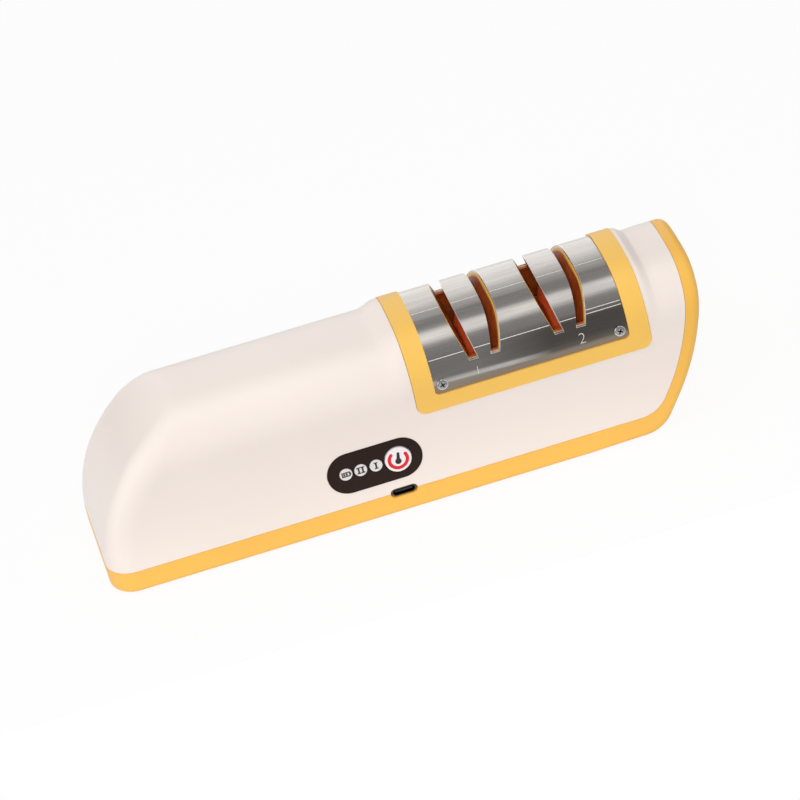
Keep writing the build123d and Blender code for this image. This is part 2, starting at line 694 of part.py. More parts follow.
wheel_left = [x - WHEEL_WIDTH / 2 for x in WHEEL_X]
hub_left = [x - HUB_FLANGE for x in wheel_left]
washer_left = [x + WHEEL_WIDTH for x in wheel_left]
washer_right = [x + HUB_FLANGE for x in washer_left]

with BuildPart() as coarse_wheel:
    turned(wheel_left[0], washer_left[0], WHEEL_R, WHEEL_BORE_R + SEAT_GAP)
coarse_wheel.part.label = "coarse_wheel"
export_step(coarse_wheel.part, "parts/coarse_wheel.step")

with BuildPart() as fine_wheel:
    turned(wheel_left[1], washer_left[1], WHEEL_R, WHEEL_BORE_R + SEAT_GAP)
fine_wheel.part.label = "fine_wheel"
export_step(fine_wheel.part, "parts/fine_wheel.step")

with BuildPart() as wheel_hubs:
    for flange, face, end in zip(hub_left, wheel_left, washer_right):
        turned(flange, face, HUB_FLANGE_R, SHAFT_R + SEAT_GAP)
        turned(face, end, WHEEL_BORE_R, SHAFT_R + SEAT_GAP)
wheel_hubs.part.label = "wheel_hubs"
export_step(wheel_hubs.part, "parts/wheel_hubs.step")

with BuildPart() as wheel_washers:
    for face, end in zip(washer_left, washer_right):
        turned(face, end, HUB_FLANGE_R, WHEEL_BORE_R + SEAT_GAP)
wheel_washers.part.label = "wheel_washers"
export_step(wheel_washers.part, "parts/wheel_washers.step")

with BuildPart() as left_sleeve:
    turned(LEFT_FACE + PART_GAP, hub_left[0], SLEEVE_R, SHAFT_R + SEAT_GAP)
left_sleeve.part.label = "left_sleeve"
export_step(left_sleeve.part, "parts/left_sleeve.step")

with BuildPart() as middle_sleeve:
    turned(washer_right[0], hub_left[1], SLEEVE_R, SHAFT_R + SEAT_GAP)
middle_sleeve.part.label = "middle_sleeve"
export_step(middle_sleeve.part, "parts/middle_sleeve.step")

with BuildPart() as right_sleeve:
    turned(washer_right[1], RIGHT_FACE - PART_GAP, SLEEVE_R, SHAFT_R + SEAT_GAP)
right_sleeve.part.label = "right_sleeve"
export_step(right_sleeve.part, "parts/right_sleeve.step")

with BuildPart() as left_bearing:
    turned(LEFT_FACE - BEARING_WIDTH, LEFT_FACE, BEARING_R, SHAFT_R + RUN_GAP)
left_bearing.part.label = "left_bearing"
export_step(left_bearing.part, "parts/left_bearing.step")

with BuildPart() as right_bearing:
    turned(RIGHT_FACE, RIGHT_FACE + BEARING_WIDTH, BEARING_R, SHAFT_R + RUN_GAP)
right_bearing.part.label = "right_bearing"
export_step(right_bearing.part, "parts/right_bearing.step")

clip_left = RIGHT_FACE + BEARING_WIDTH + PART_GAP
with BuildPart() as shaft_clip:
    turned(clip_left, clip_left + CLIP_THICK, CLIP_R, SHAFT_R + SEAT_GAP)
    with Locations((clip_left, 0, SHAFT_Z - CLIP_R)):
        Box(3 * CLIP_THICK, SHAFT_R, 2 * SHAFT_R, mode=Mode.SUBTRACT)
shaft_clip.part.label = "shaft_clip"
export_step(shaft_clip.part, "parts/shaft_clip.step")

with BuildPart() as shaft_coupling:
    turned(COUPLING_LEFT, COUPLING_RIGHT, COUPLING_R)
    turned(COUPLING_LEFT, COUPLING_MID, MOTOR_SHAFT_R + SEAT_GAP, mode=Mode.SUBTRACT)
    turned(COUPLING_MID, COUPLING_RIGHT, SHAFT_R + SEAT_GAP, mode=Mode.SUBTRACT)
shaft_coupling.part.label = "shaft_coupling"
export_step(shaft_coupling.part, "parts/shaft_coupling.step")

# ------------------------------------------------------------------ motor
with BuildPart() as motor_can:
    turned(MOTOR_BACK, MOTOR_FRONT, MOTOR_R)
    turned(MOTOR_FRONT, MOTOR_FRONT + MOTOR_BOSS, MOTOR_BOSS_R)
    turned(MOTOR_BACK, MOTOR_FRONT - MOTOR_WALL, MOTOR_R - MOTOR_WALL, mode=Mode.SUBTRACT)
    turned(MOTOR_BACK, COUPLING_LEFT, MOTOR_SHAFT_R + RUN_GAP, mode=Mode.SUBTRACT)
motor_can.part.label = "motor_can"
export_step(motor_can.part, "parts/motor_can.step")

with BuildPart() as motor_end_cap:
    turned(MOTOR_END, MOTOR_BACK, MOTOR_R, MOTOR_SHAFT_R + RUN_GAP)
motor_end_cap.part.label = "motor_end_cap"
export_step(motor_end_cap.part, "parts/motor_end_cap.step")

with BuildPart() as motor_terminals:
    with Locations(*[(MOTOR_END, side * TERMINAL_Y, SHAFT_Z) for side in (-1, 1)]):
        Box(
            TERMINAL_LENGTH,
            TERMINAL_THICK,
            TERMINAL_WIDTH,
            align=(Align.MAX, Align.CENTER, Align.CENTER),
        )
motor_terminals.part.label = "motor_terminals"
export_step(motor_terminals.part, "parts/motor_terminals.step")

with BuildPart() as motor_magnets:
    magnet_inner = MAGNET_R - MAGNET_THICK
    turned(MOTOR_BACK + MOTOR_WALL, MOTOR_FRONT - 2 * MOTOR_WALL, MAGNET_R, magnet_inner)
    with Locations((CRADLE_X, 0, SHAFT_Z)):
        Box(MOTOR_LENGTH, 2 * MOTOR_R, MOTOR_R / 2, mode=Mode.SUBTRACT)
motor_magnets.part.label = "motor_magnets"
export_step(motor_magnets.part, "parts/motor_magnets.step")

with BuildPart() as motor_armature:
    armature_left = MOTOR_BACK + 3 * MOTOR_WALL
    turned(armature_left, MOTOR_FRONT - 3 * MOTOR_WALL, ARMATURE_R, MOTOR_SHAFT_R + SEAT_GAP)
motor_armature.part.label = "motor_armature"
export_step(motor_armature.part, "parts/motor_armature.step")

with BuildPart() as motor_shaft:
    turned(MOTOR_END - MOTOR_BOSS, COUPLING_MID - PART_GAP, MOTOR_SHAFT_R)
motor_shaft.part.label = "motor_shaft"
export_step(motor_shaft.part, "parts/motor_shaft.step")

# The strap is bent over the motor and screwed down on the housing's ears.
strap_outer_r = MOTOR_R + SEAT_GAP + STRAP_THICK
with BuildPart() as motor_strap:
    turned(CRADLE_X - STRAP_WIDTH / 2, CRADLE_X + STRAP_WIDTH / 2, strap_outer_r)
    with Locations((CRADLE_X, 0, RIB_TOP)):
        Box(
            STRAP_WIDTH,
            2 * EAR_REACH,
            STRAP_THICK,
            align=(Align.CENTER, Align.CENTER, Align.MIN),
        )
        Box(
            2 * STRAP_WIDTH,
            BEAM,
            BEAM,
            align=(Align.CENTER, Align.CENTER, Align.MAX),
            mode=Mode.SUBTRACT,
        )
    turned(MOTOR_BACK, MOTOR_FRONT, MOTOR_R + SEAT_GAP, mode=Mode.SUBTRACT)
    drilled(Plane.XY, strap_screws_at, SCREW_R + SCREW_PLAY, HEIGHT)
motor_strap.part.label = "motor_strap"
export_step(motor_strap.part, "parts/motor_strap.step")

strap_screw = screw(EAR_THICK, SCREW_R, SCREW_HEAD_R, SCREW_HEAD)
with BuildPart() as strap_screws:
    with Locations(*[(x, y, RIB_TOP + STRAP_THICK) for x, y in strap_screws_at]):
        add(strap_screw)
strap_screws.part.label = "strap_screws"
export_step(strap_screws.part, "parts/strap_screws.step")

# ------------------------------------------------------------------ battery
with BuildPart() as battery_cell:
    turned(CELL_LEFT, CELL_RIGHT, CELL_R, center=(0, CELL_Z))
    fillet(battery_cell.edges(), CONTACT_THICK)
battery_cell.part.label = "battery_cell"
export_step(battery_cell.part, "parts/battery_cell.step")

cell_mid = (CELL_LEFT + CELL_RIGHT) / 2
pocket_length = CELL_LENGTH + 2 * CONTACT_THICK
with BuildPart() as battery_holder:
    with Locations((cell_mid, 0, FLOOR_Z)):
        Box(
            pocket_length + 2 * HOLDER_WALL,
            2 * (CELL_R + HOLDER_WALL),
            HOLDER_HEIGHT,
            align=(Align.CENTER, Align.CENTER, Align.MIN),
        )
    with Locations((cell_mid, 0, CELL_Z)):
        Box(
            pocket_length,
            2 * CELL_R - 2 * HOLDER_WALL,
            2 * CELL_R,
            mode=Mode.SUBTRACT,
        )
    bore_r = CELL_R + SEAT_GAP
    pocket_left = CELL_LEFT - CONTACT_THICK
    pocket_right = CELL_RIGHT + CONTACT_THICK
    turned(pocket_left, pocket_right, bore_r, center=(0, CELL_Z), mode=Mode.SUBTRACT)
battery_holder.part.label = "battery_holder"
export_step(battery_holder.part, "parts/battery_holder.step")

with BuildPart() as battery_contacts:
    for start in (CELL_LEFT - CONTACT_THICK, CELL_RIGHT):
        turned(start, start + CONTACT_THICK, CONTACT_R, center=(0, CELL_Z))
        with BuildSketch(Plane.YZ.offset(start)):
            with Locations((-TAB_WIDTH, CELL_Z)):
                Rectangle(TAB_WIDTH, TAB_TOP - CELL_Z, align=(Align.CENTER, Align.MIN))
        extrude(amount=CONTACT_THICK)
battery_contacts.part.label = "battery_contacts"
export_step(battery_contacts.part, "parts/battery_contacts.step")

# ------------------------------------------------------------------ main board and port
with BuildPart() as main_board:
    with Locations((MAIN_BOARD_X, MAIN_BOARD_Y, BOARD_BOTTOM)):
        Box(
            MAIN_BOARD_LENGTH,
            MAIN_BOARD_WIDTH,
            BOARD_THICK,
            align=(Align.CENTER, Align.CENTER, Align.MIN),
        )
    drilled(Plane.XY, board_screws_at, BOARD_SCREW_R + SCREW_PLAY, HEIGHT)
main_board.part.label = "main_board"
export_step(main_board.part, "parts/main_board.step")

chip_x = MAIN_BOARD_X - MAIN_BOARD_LENGTH / 4
coil_x = MAIN_BOARD_X + MAIN_BOARD_LENGTH / 2 - COIL_R - 1
with BuildPart() as board_components:
    with Locations((chip_x, MAIN_BOARD_Y, BOARD_TOP)):
        Box(CHIP_SIZE, CHIP_SIZE, CHIP_HEIGHT, align=(Align.CENTER, Align.CENTER, Align.MIN))
    with Locations((coil_x, MAIN_BOARD_Y - COIL_R / 2, BOARD_TOP)):
        Cylinder(COIL_R, COIL_HEIGHT, align=(Align.CENTER, Align.CENTER, Align.MIN))
board_components.part.label = "board_components"
export_step(board_components.part, "parts/board_components.step")

board_screw = screw(BOARD_SCREW_LENGTH, BOARD_SCREW_R, BOARD_SCREW_HEAD_R, BOARD_SCREW_HEAD)
with BuildPart() as board_screws:
    with Locations(*[(x, y, BOARD_TOP) for x, y in board_screws_at]):
        add(board_screw)
board_screws.part.label = "board_screws"
export_step(board_screws.part, "parts/board_screws.step")

with BuildPart() as usb_socket:
    with BuildSketch(Plane.XZ.offset(-SOCKET_BACK)):
        with Locations((PORT_X, SEAM_Z)):
            SlotOverall(SOCKET_LENGTH, SOCKET_HEIGHT)
    extrude(amount=SOCKET_DEPTH)
    with BuildSketch(Plane.XZ.offset(SOCKET_WALL - SOCKET_BACK)):
        with Locations((PORT_X, SEAM_Z)):
            SlotOverall(SOCKET_LENGTH - 2 * SOCKET_WALL, SOCKET_HEIGHT - 2 * SOCKET_WALL)
    extrude(amount=SOCKET_DEPTH, mode=Mode.SUBTRACT)
usb_socket.part.label = "usb_socket"
export_step(usb_socket.part, "parts/usb_socket.step")

with BuildPart() as usb_tongue:
    with BuildSketch(Plane.XZ.offset(SOCKET_WALL - SOCKET_BACK)):
        with Locations((PORT_X, SEAM_Z)):
            Rectangle(TONGUE_LENGTH, TONGUE_HEIGHT)
    extrude(amount=SOCKET_DEPTH - 3 * SOCKET_WALL)
usb_tongue.part.label = "usb_tongue"
export_step(usb_tongue.part, "parts/usb_tongue.step")

# ------------------------------------------------------------------ control panel
with BuildPart() as control_panel:
    with BuildSketch(panel_plane(PANEL_THICK)):
        SlotOverall(PANEL_LENGTH, PANEL_WIDTH)
    extrude(amount=PANEL_THICK + PANEL_PROUD)
    drilled(panel_plane(WALL), [(BUTTON_X, 0)], BUTTON_R + PART_GAP, 2 * WALL)
    drilled(panel_plane(WALL), lens_spots, LENS_R + LENS_GAP, 2 * WALL)
control_panel.part.label = "control_panel"
export_step(control_panel.part, "parts/control_panel.step")

flange_front = WALL + PART_GAP
flange_back = flange_front + BUTTON_FLANGE
stem_end = SWITCH_BOARD_DEPTH - SWITCH_HEIGHT - SEAT_GAP
with BuildPart() as power_button:
    cap_height = flange_front + PANEL_PROUD + BUTTON_PROUD
    drilled(panel_plane(flange_front), [(BUTTON_X, 0)], BUTTON_R, cap_height, Mode.ADD)
    flange_r = BUTTON_R + 3 * PART_GAP
    drilled(panel_plane(flange_back), [(BUTTON_X, 0)], flange_r, BUTTON_FLANGE, Mode.ADD)
    drilled(panel_plane(stem_end), [(BUTTON_X, 0)], BUTTON_STEM_R, stem_end - flange_back, Mode.ADD)
power_button.part.label = "power_button"
export_step(power_button.part, "parts/power_button.step")

with BuildPart() as switch_plunger:
    plunger = panel_plane(stem_end + PLUNGER_LENGTH)
    drilled(plunger, [(BUTTON_X, 0)], BUTTON_STEM_R, PLUNGER_LENGTH, Mode.ADD)
switch_plunger.part.label = "switch_plunger"
export_step(switch_plunger.part, "parts/switch_plunger.step")

with BuildPart() as tact_switch:
    with BuildSketch(panel_plane(SWITCH_BOARD_DEPTH)):
        with Locations((BUTTON_X, 0)):
            Rectangle(SWITCH_SIZE, SWITCH_SIZE)
    extrude(amount=SWITCH_HEIGHT)
    well_floor = stem_end + PLUNGER_LENGTH + BUTTON_TRAVEL + PART_GAP
    drilled(panel_plane(well_floor), [(BUTTON_X, 0)], BUTTON_STEM_R + PART_GAP, SWITCH_HEIGHT)
tact_switch.part.label = "tact_switch"
export_step(tact_switch.part, "parts/tact_switch.step")

with BuildPart() as switch_board:
    with BuildSketch(panel_plane(SWITCH_BOARD_DEPTH + SWITCH_BOARD_THICK)):
        Rectangle(SWITCH_BOARD_LENGTH, SWITCH_BOARD_WIDTH)
    extrude(amount=SWITCH_BOARD_THICK)
    screw_hole = BOARD_SCREW_R + SCREW_PLAY
    drilled(panel_plane(2 * SWITCH_BOARD_DEPTH), switch_posts, screw_hole, SWITCH_BOARD_DEPTH)
switch_board.part.label = "switch_board"
export_step(switch_board.part, "parts/switch_board.step")

with BuildPart() as switch_board_screws:
    back = panel_plane(SWITCH_BOARD_DEPTH + SWITCH_BOARD_THICK)
    with Locations(*[back.location * Location((x, y, 0), (180, 0, 0)) for x, y in switch_posts]):
        add(board_screw)
switch_board_screws.part.label = "switch_board_screws"
export_step(switch_board_screws.part, "parts/switch_board_screws.step")

with BuildPart() as indicator_lenses:
    drilled(panel_plane(LENS_DEPTH), lens_spots, LENS_R, LENS_DEPTH + LENS_PROUD, Mode.ADD)
indicator_lenses.part.label = "indicator_lenses"
export_step(indicator_lenses.part, "parts/indicator_lenses.step")

with BuildPart() as indicator_leds:
    with BuildSketch(panel_plane(SWITCH_BOARD_DEPTH)):
        with Locations(*lens_spots):
            Rectangle(LED_SIZE, LED_SIZE)
    extrude(amount=LED_HEIGHT)
indicator_leds.part.label = "indicator_leds"
export_step(indicator_leds.part, "parts/indicator_leds.step")

# ------------------------------------------------------------------ screws and feet
housing_screw = screw(SCREW_LENGTH, SCREW_R, SCREW_HEAD_R, SCREW_HEAD)
with BuildPart() as housing_screws:
    with Locations(*[Location((x, y, SHELL_SEAT_Z), (180, 0, 0)) for x, y in shell_screws]):
        add(housing_screw)
housing_screws.part.label = "housing_screws"
export_step(housing_screws.part, "parts/housing_screws.step")

with BuildPart() as head_screw_set:
    with Locations(*[Location((x, y, HEAD_SEAT_Z), (180, 0, 0)) for x, y in head_screws]):
        add(housing_screw)
head_screw_set.part.label = "head_screws"
export_step(head_screw_set.part, "parts/head_screws.step")

with BuildPart() as rubber_feet:
    drilled(Plane.XY, feet_at, FOOT_R, FOOT_HEIGHT, Mode.ADD)
    fillet(rubber_feet.edges().group_by(Axis.Z)[0], BASE_Z / 2)
rubber_feet.part.label = "rubber_feet"
export_step(rubber_feet.part, "parts/rubber_feet.step")

# ------------------------------------------------------------------ leads
# Both pairs run from their terminals to pads on the main board, where each one
# comes down on the board from above.
terminal_x = MOTOR_END - TERMINAL_LENGTH
pad_x = MAIN_BOARD_X - MAIN_BOARD_LENGTH / 2 + 2
pad_y = [MAIN_BOARD_Y + row for row in (1.2, -1.8, -3.5, -5.4)]
pad_z = BOARD_TOP + SEAT_GAP
with BuildPart() as motor_leads:
    lead(
        (terminal_x, -TERMINAL_Y, SHAFT_Z),
        (terminal_x - 3.2, -TERMINAL_Y, SHAFT_Z),
        (terminal_x - 2.4, -13.6, SHAFT_Z - 8),
        (terminal_x + 2.2, -17.5, BOARD_TOP + 8.5),
        (pad_x + 0.6, pad_y[0], BOARD_TOP + 5),
        (pad_x + 0.6, pad_y[0], pad_z),
    )
    lead(
        (terminal_x, TERMINAL_Y, SHAFT_Z),
        (terminal_x - 3.6, TERMINAL_Y, SHAFT_Z),
        (terminal_x - 5.4, -4.5, SHAFT_Z + 0.6),
        (terminal_x - 4.2, -12.6, SHAFT_Z - 5),
        (terminal_x - 0.4, -17.0, SHAFT_Z - 13.5),
        (pad_x + 0.4, pad_y[1], BOARD_TOP + 4.5),
        (pad_x + 0.4, pad_y[1], pad_z),
    )
motor_leads.part.label = "motor_leads"
export_step(motor_leads.part, "parts/motor_leads.step")

tab_z = TAB_TOP - LEAD_R - SEAT_GAP
lead_y = -(CELL_R + HOLDER_WALL + 5 * LEAD_R)
lead_z = FLOOR_Z + LEAD_R + PART_GAP
with BuildPart() as battery_leads:
    lead(
        (CELL_RIGHT + CONTACT_THICK, -TAB_WIDTH, tab_z),
        (CELL_RIGHT + 3, -TAB_WIDTH, tab_z),
        (CELL_RIGHT + 6, -8, tab_z - 3),
        (CELL_RIGHT + 9, -17, BOARD_TOP + 5),
        (pad_x - 3, pad_y[2] + 0.9, BOARD_TOP + 5),
        (pad_x, pad_y[2], BOARD_TOP + 4),
        (pad_x, pad_y[2], pad_z),
    )
    lead(
        (CELL_LEFT - CONTACT_THICK, -TAB_WIDTH, tab_z),
        (CELL_LEFT - 3.4, -TAB_WIDTH, tab_z),
        (CELL_LEFT - 4.6, -9.5, tab_z - 3),
        (CELL_LEFT - 1, lead_y + 0.6, CELL_Z - 3),
        (CELL_LEFT + 6, lead_y - 0.2, lead_z + 1),
        (CELL_LEFT + 20, lead_y - 0.9, lead_z),
        (CELL_RIGHT - 22, lead_y - 0.3, lead_z + 0.1),
        (CELL_RIGHT - 2, lead_y - 1.2, lead_z + 0.8),
        (CELL_RIGHT + 8, -20.5, BOARD_TOP + 1.5),
        (pad_x - 3, pad_y[3] + 0.8, BOARD_TOP + 4.4),
        (pad_x, pad_y[3], BOARD_TOP + 3.4),
        (pad_x, pad_y[3], pad_z),
    )
battery_leads.part.label = "battery_leads"
export_step(battery_leads.part, "parts/battery_leads.step")
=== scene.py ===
# %% [markdown]
# # An electric knife sharpener
#
# A cordless sharpener lies on a white table: a long white shell on a yellow base, a yellow
# frame with a slotted steel sheet over two grinding wheels, and a dark panel with a power
# button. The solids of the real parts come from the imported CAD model, which is the frame.
# This script gives every one of them its finish, and models what the solid model leaves
# plain: printed symbols, marks on the steel, screw heads, rounded cuts and the wheels' cones.

# %% The frame
from math import atan2, cos, pi, radians, sin, tan

import bmesh
import bpy
from mathutils import Matrix, Quaternion, Vector


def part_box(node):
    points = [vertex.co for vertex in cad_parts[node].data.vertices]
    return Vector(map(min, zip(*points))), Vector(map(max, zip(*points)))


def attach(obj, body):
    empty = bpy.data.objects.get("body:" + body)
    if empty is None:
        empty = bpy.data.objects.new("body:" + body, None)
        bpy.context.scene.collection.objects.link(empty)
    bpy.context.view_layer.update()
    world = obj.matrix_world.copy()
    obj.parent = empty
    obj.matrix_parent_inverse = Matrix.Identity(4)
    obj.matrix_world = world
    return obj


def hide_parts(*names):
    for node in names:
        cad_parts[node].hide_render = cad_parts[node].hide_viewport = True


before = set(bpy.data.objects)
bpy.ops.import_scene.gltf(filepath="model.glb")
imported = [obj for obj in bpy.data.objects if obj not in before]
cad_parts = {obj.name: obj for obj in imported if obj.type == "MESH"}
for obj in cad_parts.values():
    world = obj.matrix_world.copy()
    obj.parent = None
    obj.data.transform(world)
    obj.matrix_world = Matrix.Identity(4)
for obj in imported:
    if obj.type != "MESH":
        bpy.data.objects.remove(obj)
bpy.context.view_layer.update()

MM = 0.001

# %% [markdown]
# ## The camera
#
# A long lens from far away keeps the straight edges of a product straight and nearly
# parallel. The camera stands in front of the sharpener and a little to its left, looks down
# at it, and is rolled so that the body climbs to the right.
# A camera points along its own -Z, so its turn comes from the line of sight, and the roll
# is one more turn about that line.

# %% A long lens, a step to the left
AIM = Vector((0.0, -30.5, 49.0)) * MM
STAND = Vector((-162.5, -1253.8, 901.9)) * MM
ROLL = radians(-12.5)
LENS, SENSOR = 185.5, 36.0  # in millimetres
FAR_CLIP = 20.0

bpy.ops.object.camera_add(location=STAND)
camera = bpy.context.object
camera.name = "camera"
line_of_sight = (AIM - STAND).to_track_quat("-Z", "Y")
camera.rotation_euler = (line_of_sight @ Quaternion((0, 0, 1), ROLL)).to_euler()
camera.data.lens = LENS
camera.data.sensor_width = SENSOR
camera.data.clip_end = FAR_CLIP
bpy.context.scene.camera = camera
print("camera", round((AIM - STAND).length, 3), "m from the sharpener")

# %% [markdown]
# ## Node helpers
#
# Every finish is a small node tree. These helpers add one node each, set its values and
# join it to what comes before, so that a material reads from top to bottom like a recipe.
# All patterns read Object coordinates: metres from the sharpener's own origin, so a grain
# of half a millimetre has a scale of 2000, and nothing slides when the view changes.

# %% Helpers for materials
def srgb(red, green, blue):
    """A colour as it looks on a screen, 0 to 255, as the linear values that nodes use."""
    parts = [value / 255 for value in (red, green, blue)]
    return [p / 12.92 if p <= 0.04045 else ((p + 0.055) / 1.055) ** 2.4 for p in parts] + [1.0]


def new_material(name, color, roughness, metallic=0.0, specular=0.5):
    """An empty finish: its Principled shader with plain values, and its node tree."""
    finish = bpy.data.materials.new(name)
    finish.use_nodes = True
    shader = finish.node_tree.nodes["Principled BSDF"]
    shader.inputs["Base Color"].default_value = color
    shader.inputs["Roughness"].default_value = roughness
    shader.inputs["Metallic"].default_value = metallic
    shader.inputs["Specular IOR Level"].default_value = specular
    finish.diffuse_color = color
    return finish, shader


def add_node(finish, kind, **values):
    """Adds a node; a value's name is a property of the node or the name of an input."""
    node = finish.node_tree.nodes.new(kind)
    for name, value in values.items():
        if hasattr(node, name):
            setattr(node, name, value)
        else:
            node.inputs[name.replace("_", " ")].default_value = value
    return node


def join(finish, source, target):
    """Links an output to an input."""
    finish.node_tree.links.new(source, target)


def feed(finish, value, target):
    """Gives an input its value, which is another node's output or a plain number or colour."""
    if hasattr(value, "is_linked"):
        join(finish, value, target)
    else:
        target.default_value = value


def calculate(finish, operation, first, second=0.0):
    """A Math node, from outputs or plain numbers."""
    node = add_node(finish, "ShaderNodeMath", operation=operation)
    for target, value in zip(node.inputs, (first, second)):
        feed(finish, value, target)
    return node.outputs[0]


def place(finish, stretch=(1, 1, 1)):
    """Object coordinates, stretched: a small number on an axis draws a pattern out along it."""
    spot = add_node(finish, "ShaderNodeTexCoord")
    mapping = add_node(finish, "ShaderNodeMapping")
    mapping.inputs["Scale"].default_value = stretch
    join(finish, spot.outputs["Object"], mapping.inputs["Vector"])
    return mapping.outputs["Vector"]


def noise(finish, vector, size, detail=3.0, roughness=0.55):
    """Clouds about size metres across, from 0 to 1."""
    cloud = add_node(
        finish, "ShaderNodeTexNoise", Scale=1 / size, Detail=detail, Roughness=roughness
    )
    join(finish, vector, cloud.inputs["Vector"])
    return cloud.outputs["Fac"]


def spread(finish, source, low, high, start=0.3, stop=0.7):
    """Turns a pattern that runs from start to stop into values from low to high."""
    ramp = add_node(finish, "ShaderNodeMapRange")
    ramp.inputs["From Min"].default_value = start
    ramp.inputs["From Max"].default_value = stop
    ramp.inputs["To Min"].default_value = low
    ramp.inputs["To Max"].default_value = high
    join(finish, source, ramp.inputs["Value"])
    return ramp.outputs["Result"]


def tint(finish, share, dark, light, blend="MIX"):
    """A colour between dark and light, outputs or plain colours, chosen by a pattern."""
    mix = add_node(finish, "ShaderNodeMix", data_type="RGBA", blend_type=blend)
    for number, value in ((0, share), (6, dark), (7, light)):
        feed(finish, value, mix.inputs[number])
    return mix.outputs[2]


def bumps(finish, shader, source, depth, before=None):
    """Makes a pattern a relief of that depth in metres."""
    bump = add_node(finish, "ShaderNodeBump", Strength=1.0, Distance=depth)
    join(finish, source, bump.inputs["Height"])
    if before is not None:
        join(finish, before, bump.inputs["Normal"])
    join(finish, bump.outputs["Normal"], shader.inputs["Normal"])
    return bump.outputs["Normal"]


# %% [markdown]
# ## Moulded plastic
#
# The shell and the yellow parts are moulded. Moulded plastic is never perfectly even: its
# colour drifts by a percent or two where the wall is thicker, its gloss varies with the
# polish of the mould, and its surface has a very fine orange peel. The drift is a large soft
# cloud, and the peel a bump of two microns, which only shows in the highlights.

# %% White, yellow, dark and natural plastic
def moulded_plastic(name, color, roughness, drift=0.02, peel=2e-6, specular=0.5):
    """Plastic whose colour drifts by a share, with an orange peel that is some metres deep."""
    finish, shader = new_material(name, color, roughness, specular=specular)
    wide = noise(finish, place(finish), 0.05, detail=1.0)
    dark = [channel * (1 - drift) for channel in color[:3]] + [1.0]
    light = [min(1.0, channel * (1 + drift)) for channel in color[:3]] + [1.0]
    join(finish, tint(finish, spread(finish, wide, 0, 1), dark, light), shader.inputs["Base Color"])
    polish = noise(finish, place(finish), 0.012, detail=4.0)
    gloss = spread(finish, polish, roughness * 0.9, roughness * 1.1)
    join(finish, gloss, shader.inputs["Roughness"])
    bumps(finish, shader, noise(finish, place(finish), 0.0011, detail=2.0), peel)
    return finish


white_shell = moulded_plastic("white_shell", srgb(247, 235, 227), 0.34, drift=0.012)
yellow_plastic = moulded_plastic("yellow_plastic", srgb(253, 194, 86), 0.42, drift=0.02)
panel_plastic = moulded_plastic(
    "panel_plastic", srgb(46, 32, 28), 0.4, drift=0.06, peel=3e-6, specular=0.12
)
button_plastic = moulded_plastic("button_plastic", srgb(250, 243, 245), 0.3, drift=0.01)
lens_plastic = moulded_plastic("lens_plastic", srgb(232, 228, 226), 0.28, drift=0.015)
natural_plastic = moulded_plastic("natural_plastic", srgb(226, 222, 208), 0.5)
black_plastic = moulded_plastic("black_plastic", srgb(34, 33, 34), 0.5, drift=0.08)

# %% [markdown]
# ## The liner inside the slots
#
# Under the steel the yellow head turns into blade guides. Deeper in, their walls are painted a
# deep reddish brown: painted shade, the colour the yellow takes in the slots' shade, mottled
# by a noise. The walls that a blade leans on face left and catch the light, so they stay yellow
# a little deeper than the others: a painted lit side. A wall's depth under the head's surface
# and the way it faces tell the two apart. The head's section is a rounded arch, so the depth is
# the arch's radius less the distance from the middle line of its round shoulder.

# %% Yellow outside, painted shade inside
ARCH_R = 20.0 * MM
ARCH_Y, ARCH_Z = 7.05 * MM, 45.89 * MM  # the middle of the round shoulder
SHADE_FROM, SHADE_FULL = 1.9 * MM, 2.6 * MM
LIT_DEEPER = 0.7 * MM  # how much deeper the walls that face left stay yellow: their painted lit side
FACES_LEFT, FACES_ELSEWHERE = -0.6, -0.4  # the normal's X, and the colour fades in between


def depth_in_head(finish):
    """How far a point lies under the head's surface, in metres."""
    spot = add_node(finish, "ShaderNodeSeparateXYZ")
    join(finish, place(finish), spot.inputs[0])
    side = calculate(finish, "ABSOLUTE", spot.outputs["Y"])
    beyond = add_node(finish, "ShaderNodeCombineXYZ")
    for source, middle, axis in ((side, ARCH_Y, "X"), (spot.outputs["Z"], ARCH_Z, "Y")):
        past = calculate(finish, "SUBTRACT", source, middle)
        join(finish, calculate(finish, "MAXIMUM", past, 0.0), beyond.inputs[axis])
    away = add_node(finish, "ShaderNodeVectorMath", operation="LENGTH")
    join(finish, beyond.outputs[0], away.inputs[0])
    return calculate(finish, "SUBTRACT", ARCH_R, away.outputs["Value"])


head_plastic = moulded_plastic("head_plastic", srgb(254, 202, 98), 0.42, drift=0.02)
shader = head_plastic.node_tree.nodes["Principled BSDF"]
yellow = shader.inputs["Base Color"].links[0].from_socket
# Painted shade: walls deep under the surface turn a mottled reddish brown, and those that face
# left, the lit side, stay yellow a little deeper.
shade_mottle = noise(head_plastic, place(head_plastic), 0.004, detail=5.0)
patchy = spread(head_plastic, shade_mottle, 0, 1)
painted_shade_brown = tint(head_plastic, patchy, srgb(150, 66, 26), srgb(204, 104, 44))
normal = add_node(head_plastic, "ShaderNodeTexCoord").outputs["Normal"]
facing = add_node(head_plastic, "ShaderNodeSeparateXYZ")
join(head_plastic, normal, facing.inputs[0])
unlit_extra_depth = spread(head_plastic, facing.outputs["X"], 0, LIT_DEEPER, FACES_LEFT, FACES_ELSEWHERE)
shaded_depth = calculate(head_plastic, "ADD", depth_in_head(head_plastic), unlit_extra_depth)
painted_shade = spread(head_plastic, shaded_depth, 0, 1, SHADE_FROM, SHADE_FULL)
join(head_plastic, tint(head_plastic, painted_shade, yellow, painted_shade_brown), shader.inputs["Base Color"])

# %% [markdown]
# ## Brushed steel
#
# The sheet over the wheels is brushed stainless steel, then bent over a former. Brushing
# leaves fine scratches along the body, which spread a reflection across them. A noise that
# is drawn out 120 times along X gives the scratches, in the colour and in the bump, and a
# broader one varies the gloss. The other metals are the same recipe with other values, most
# of them without a direction.

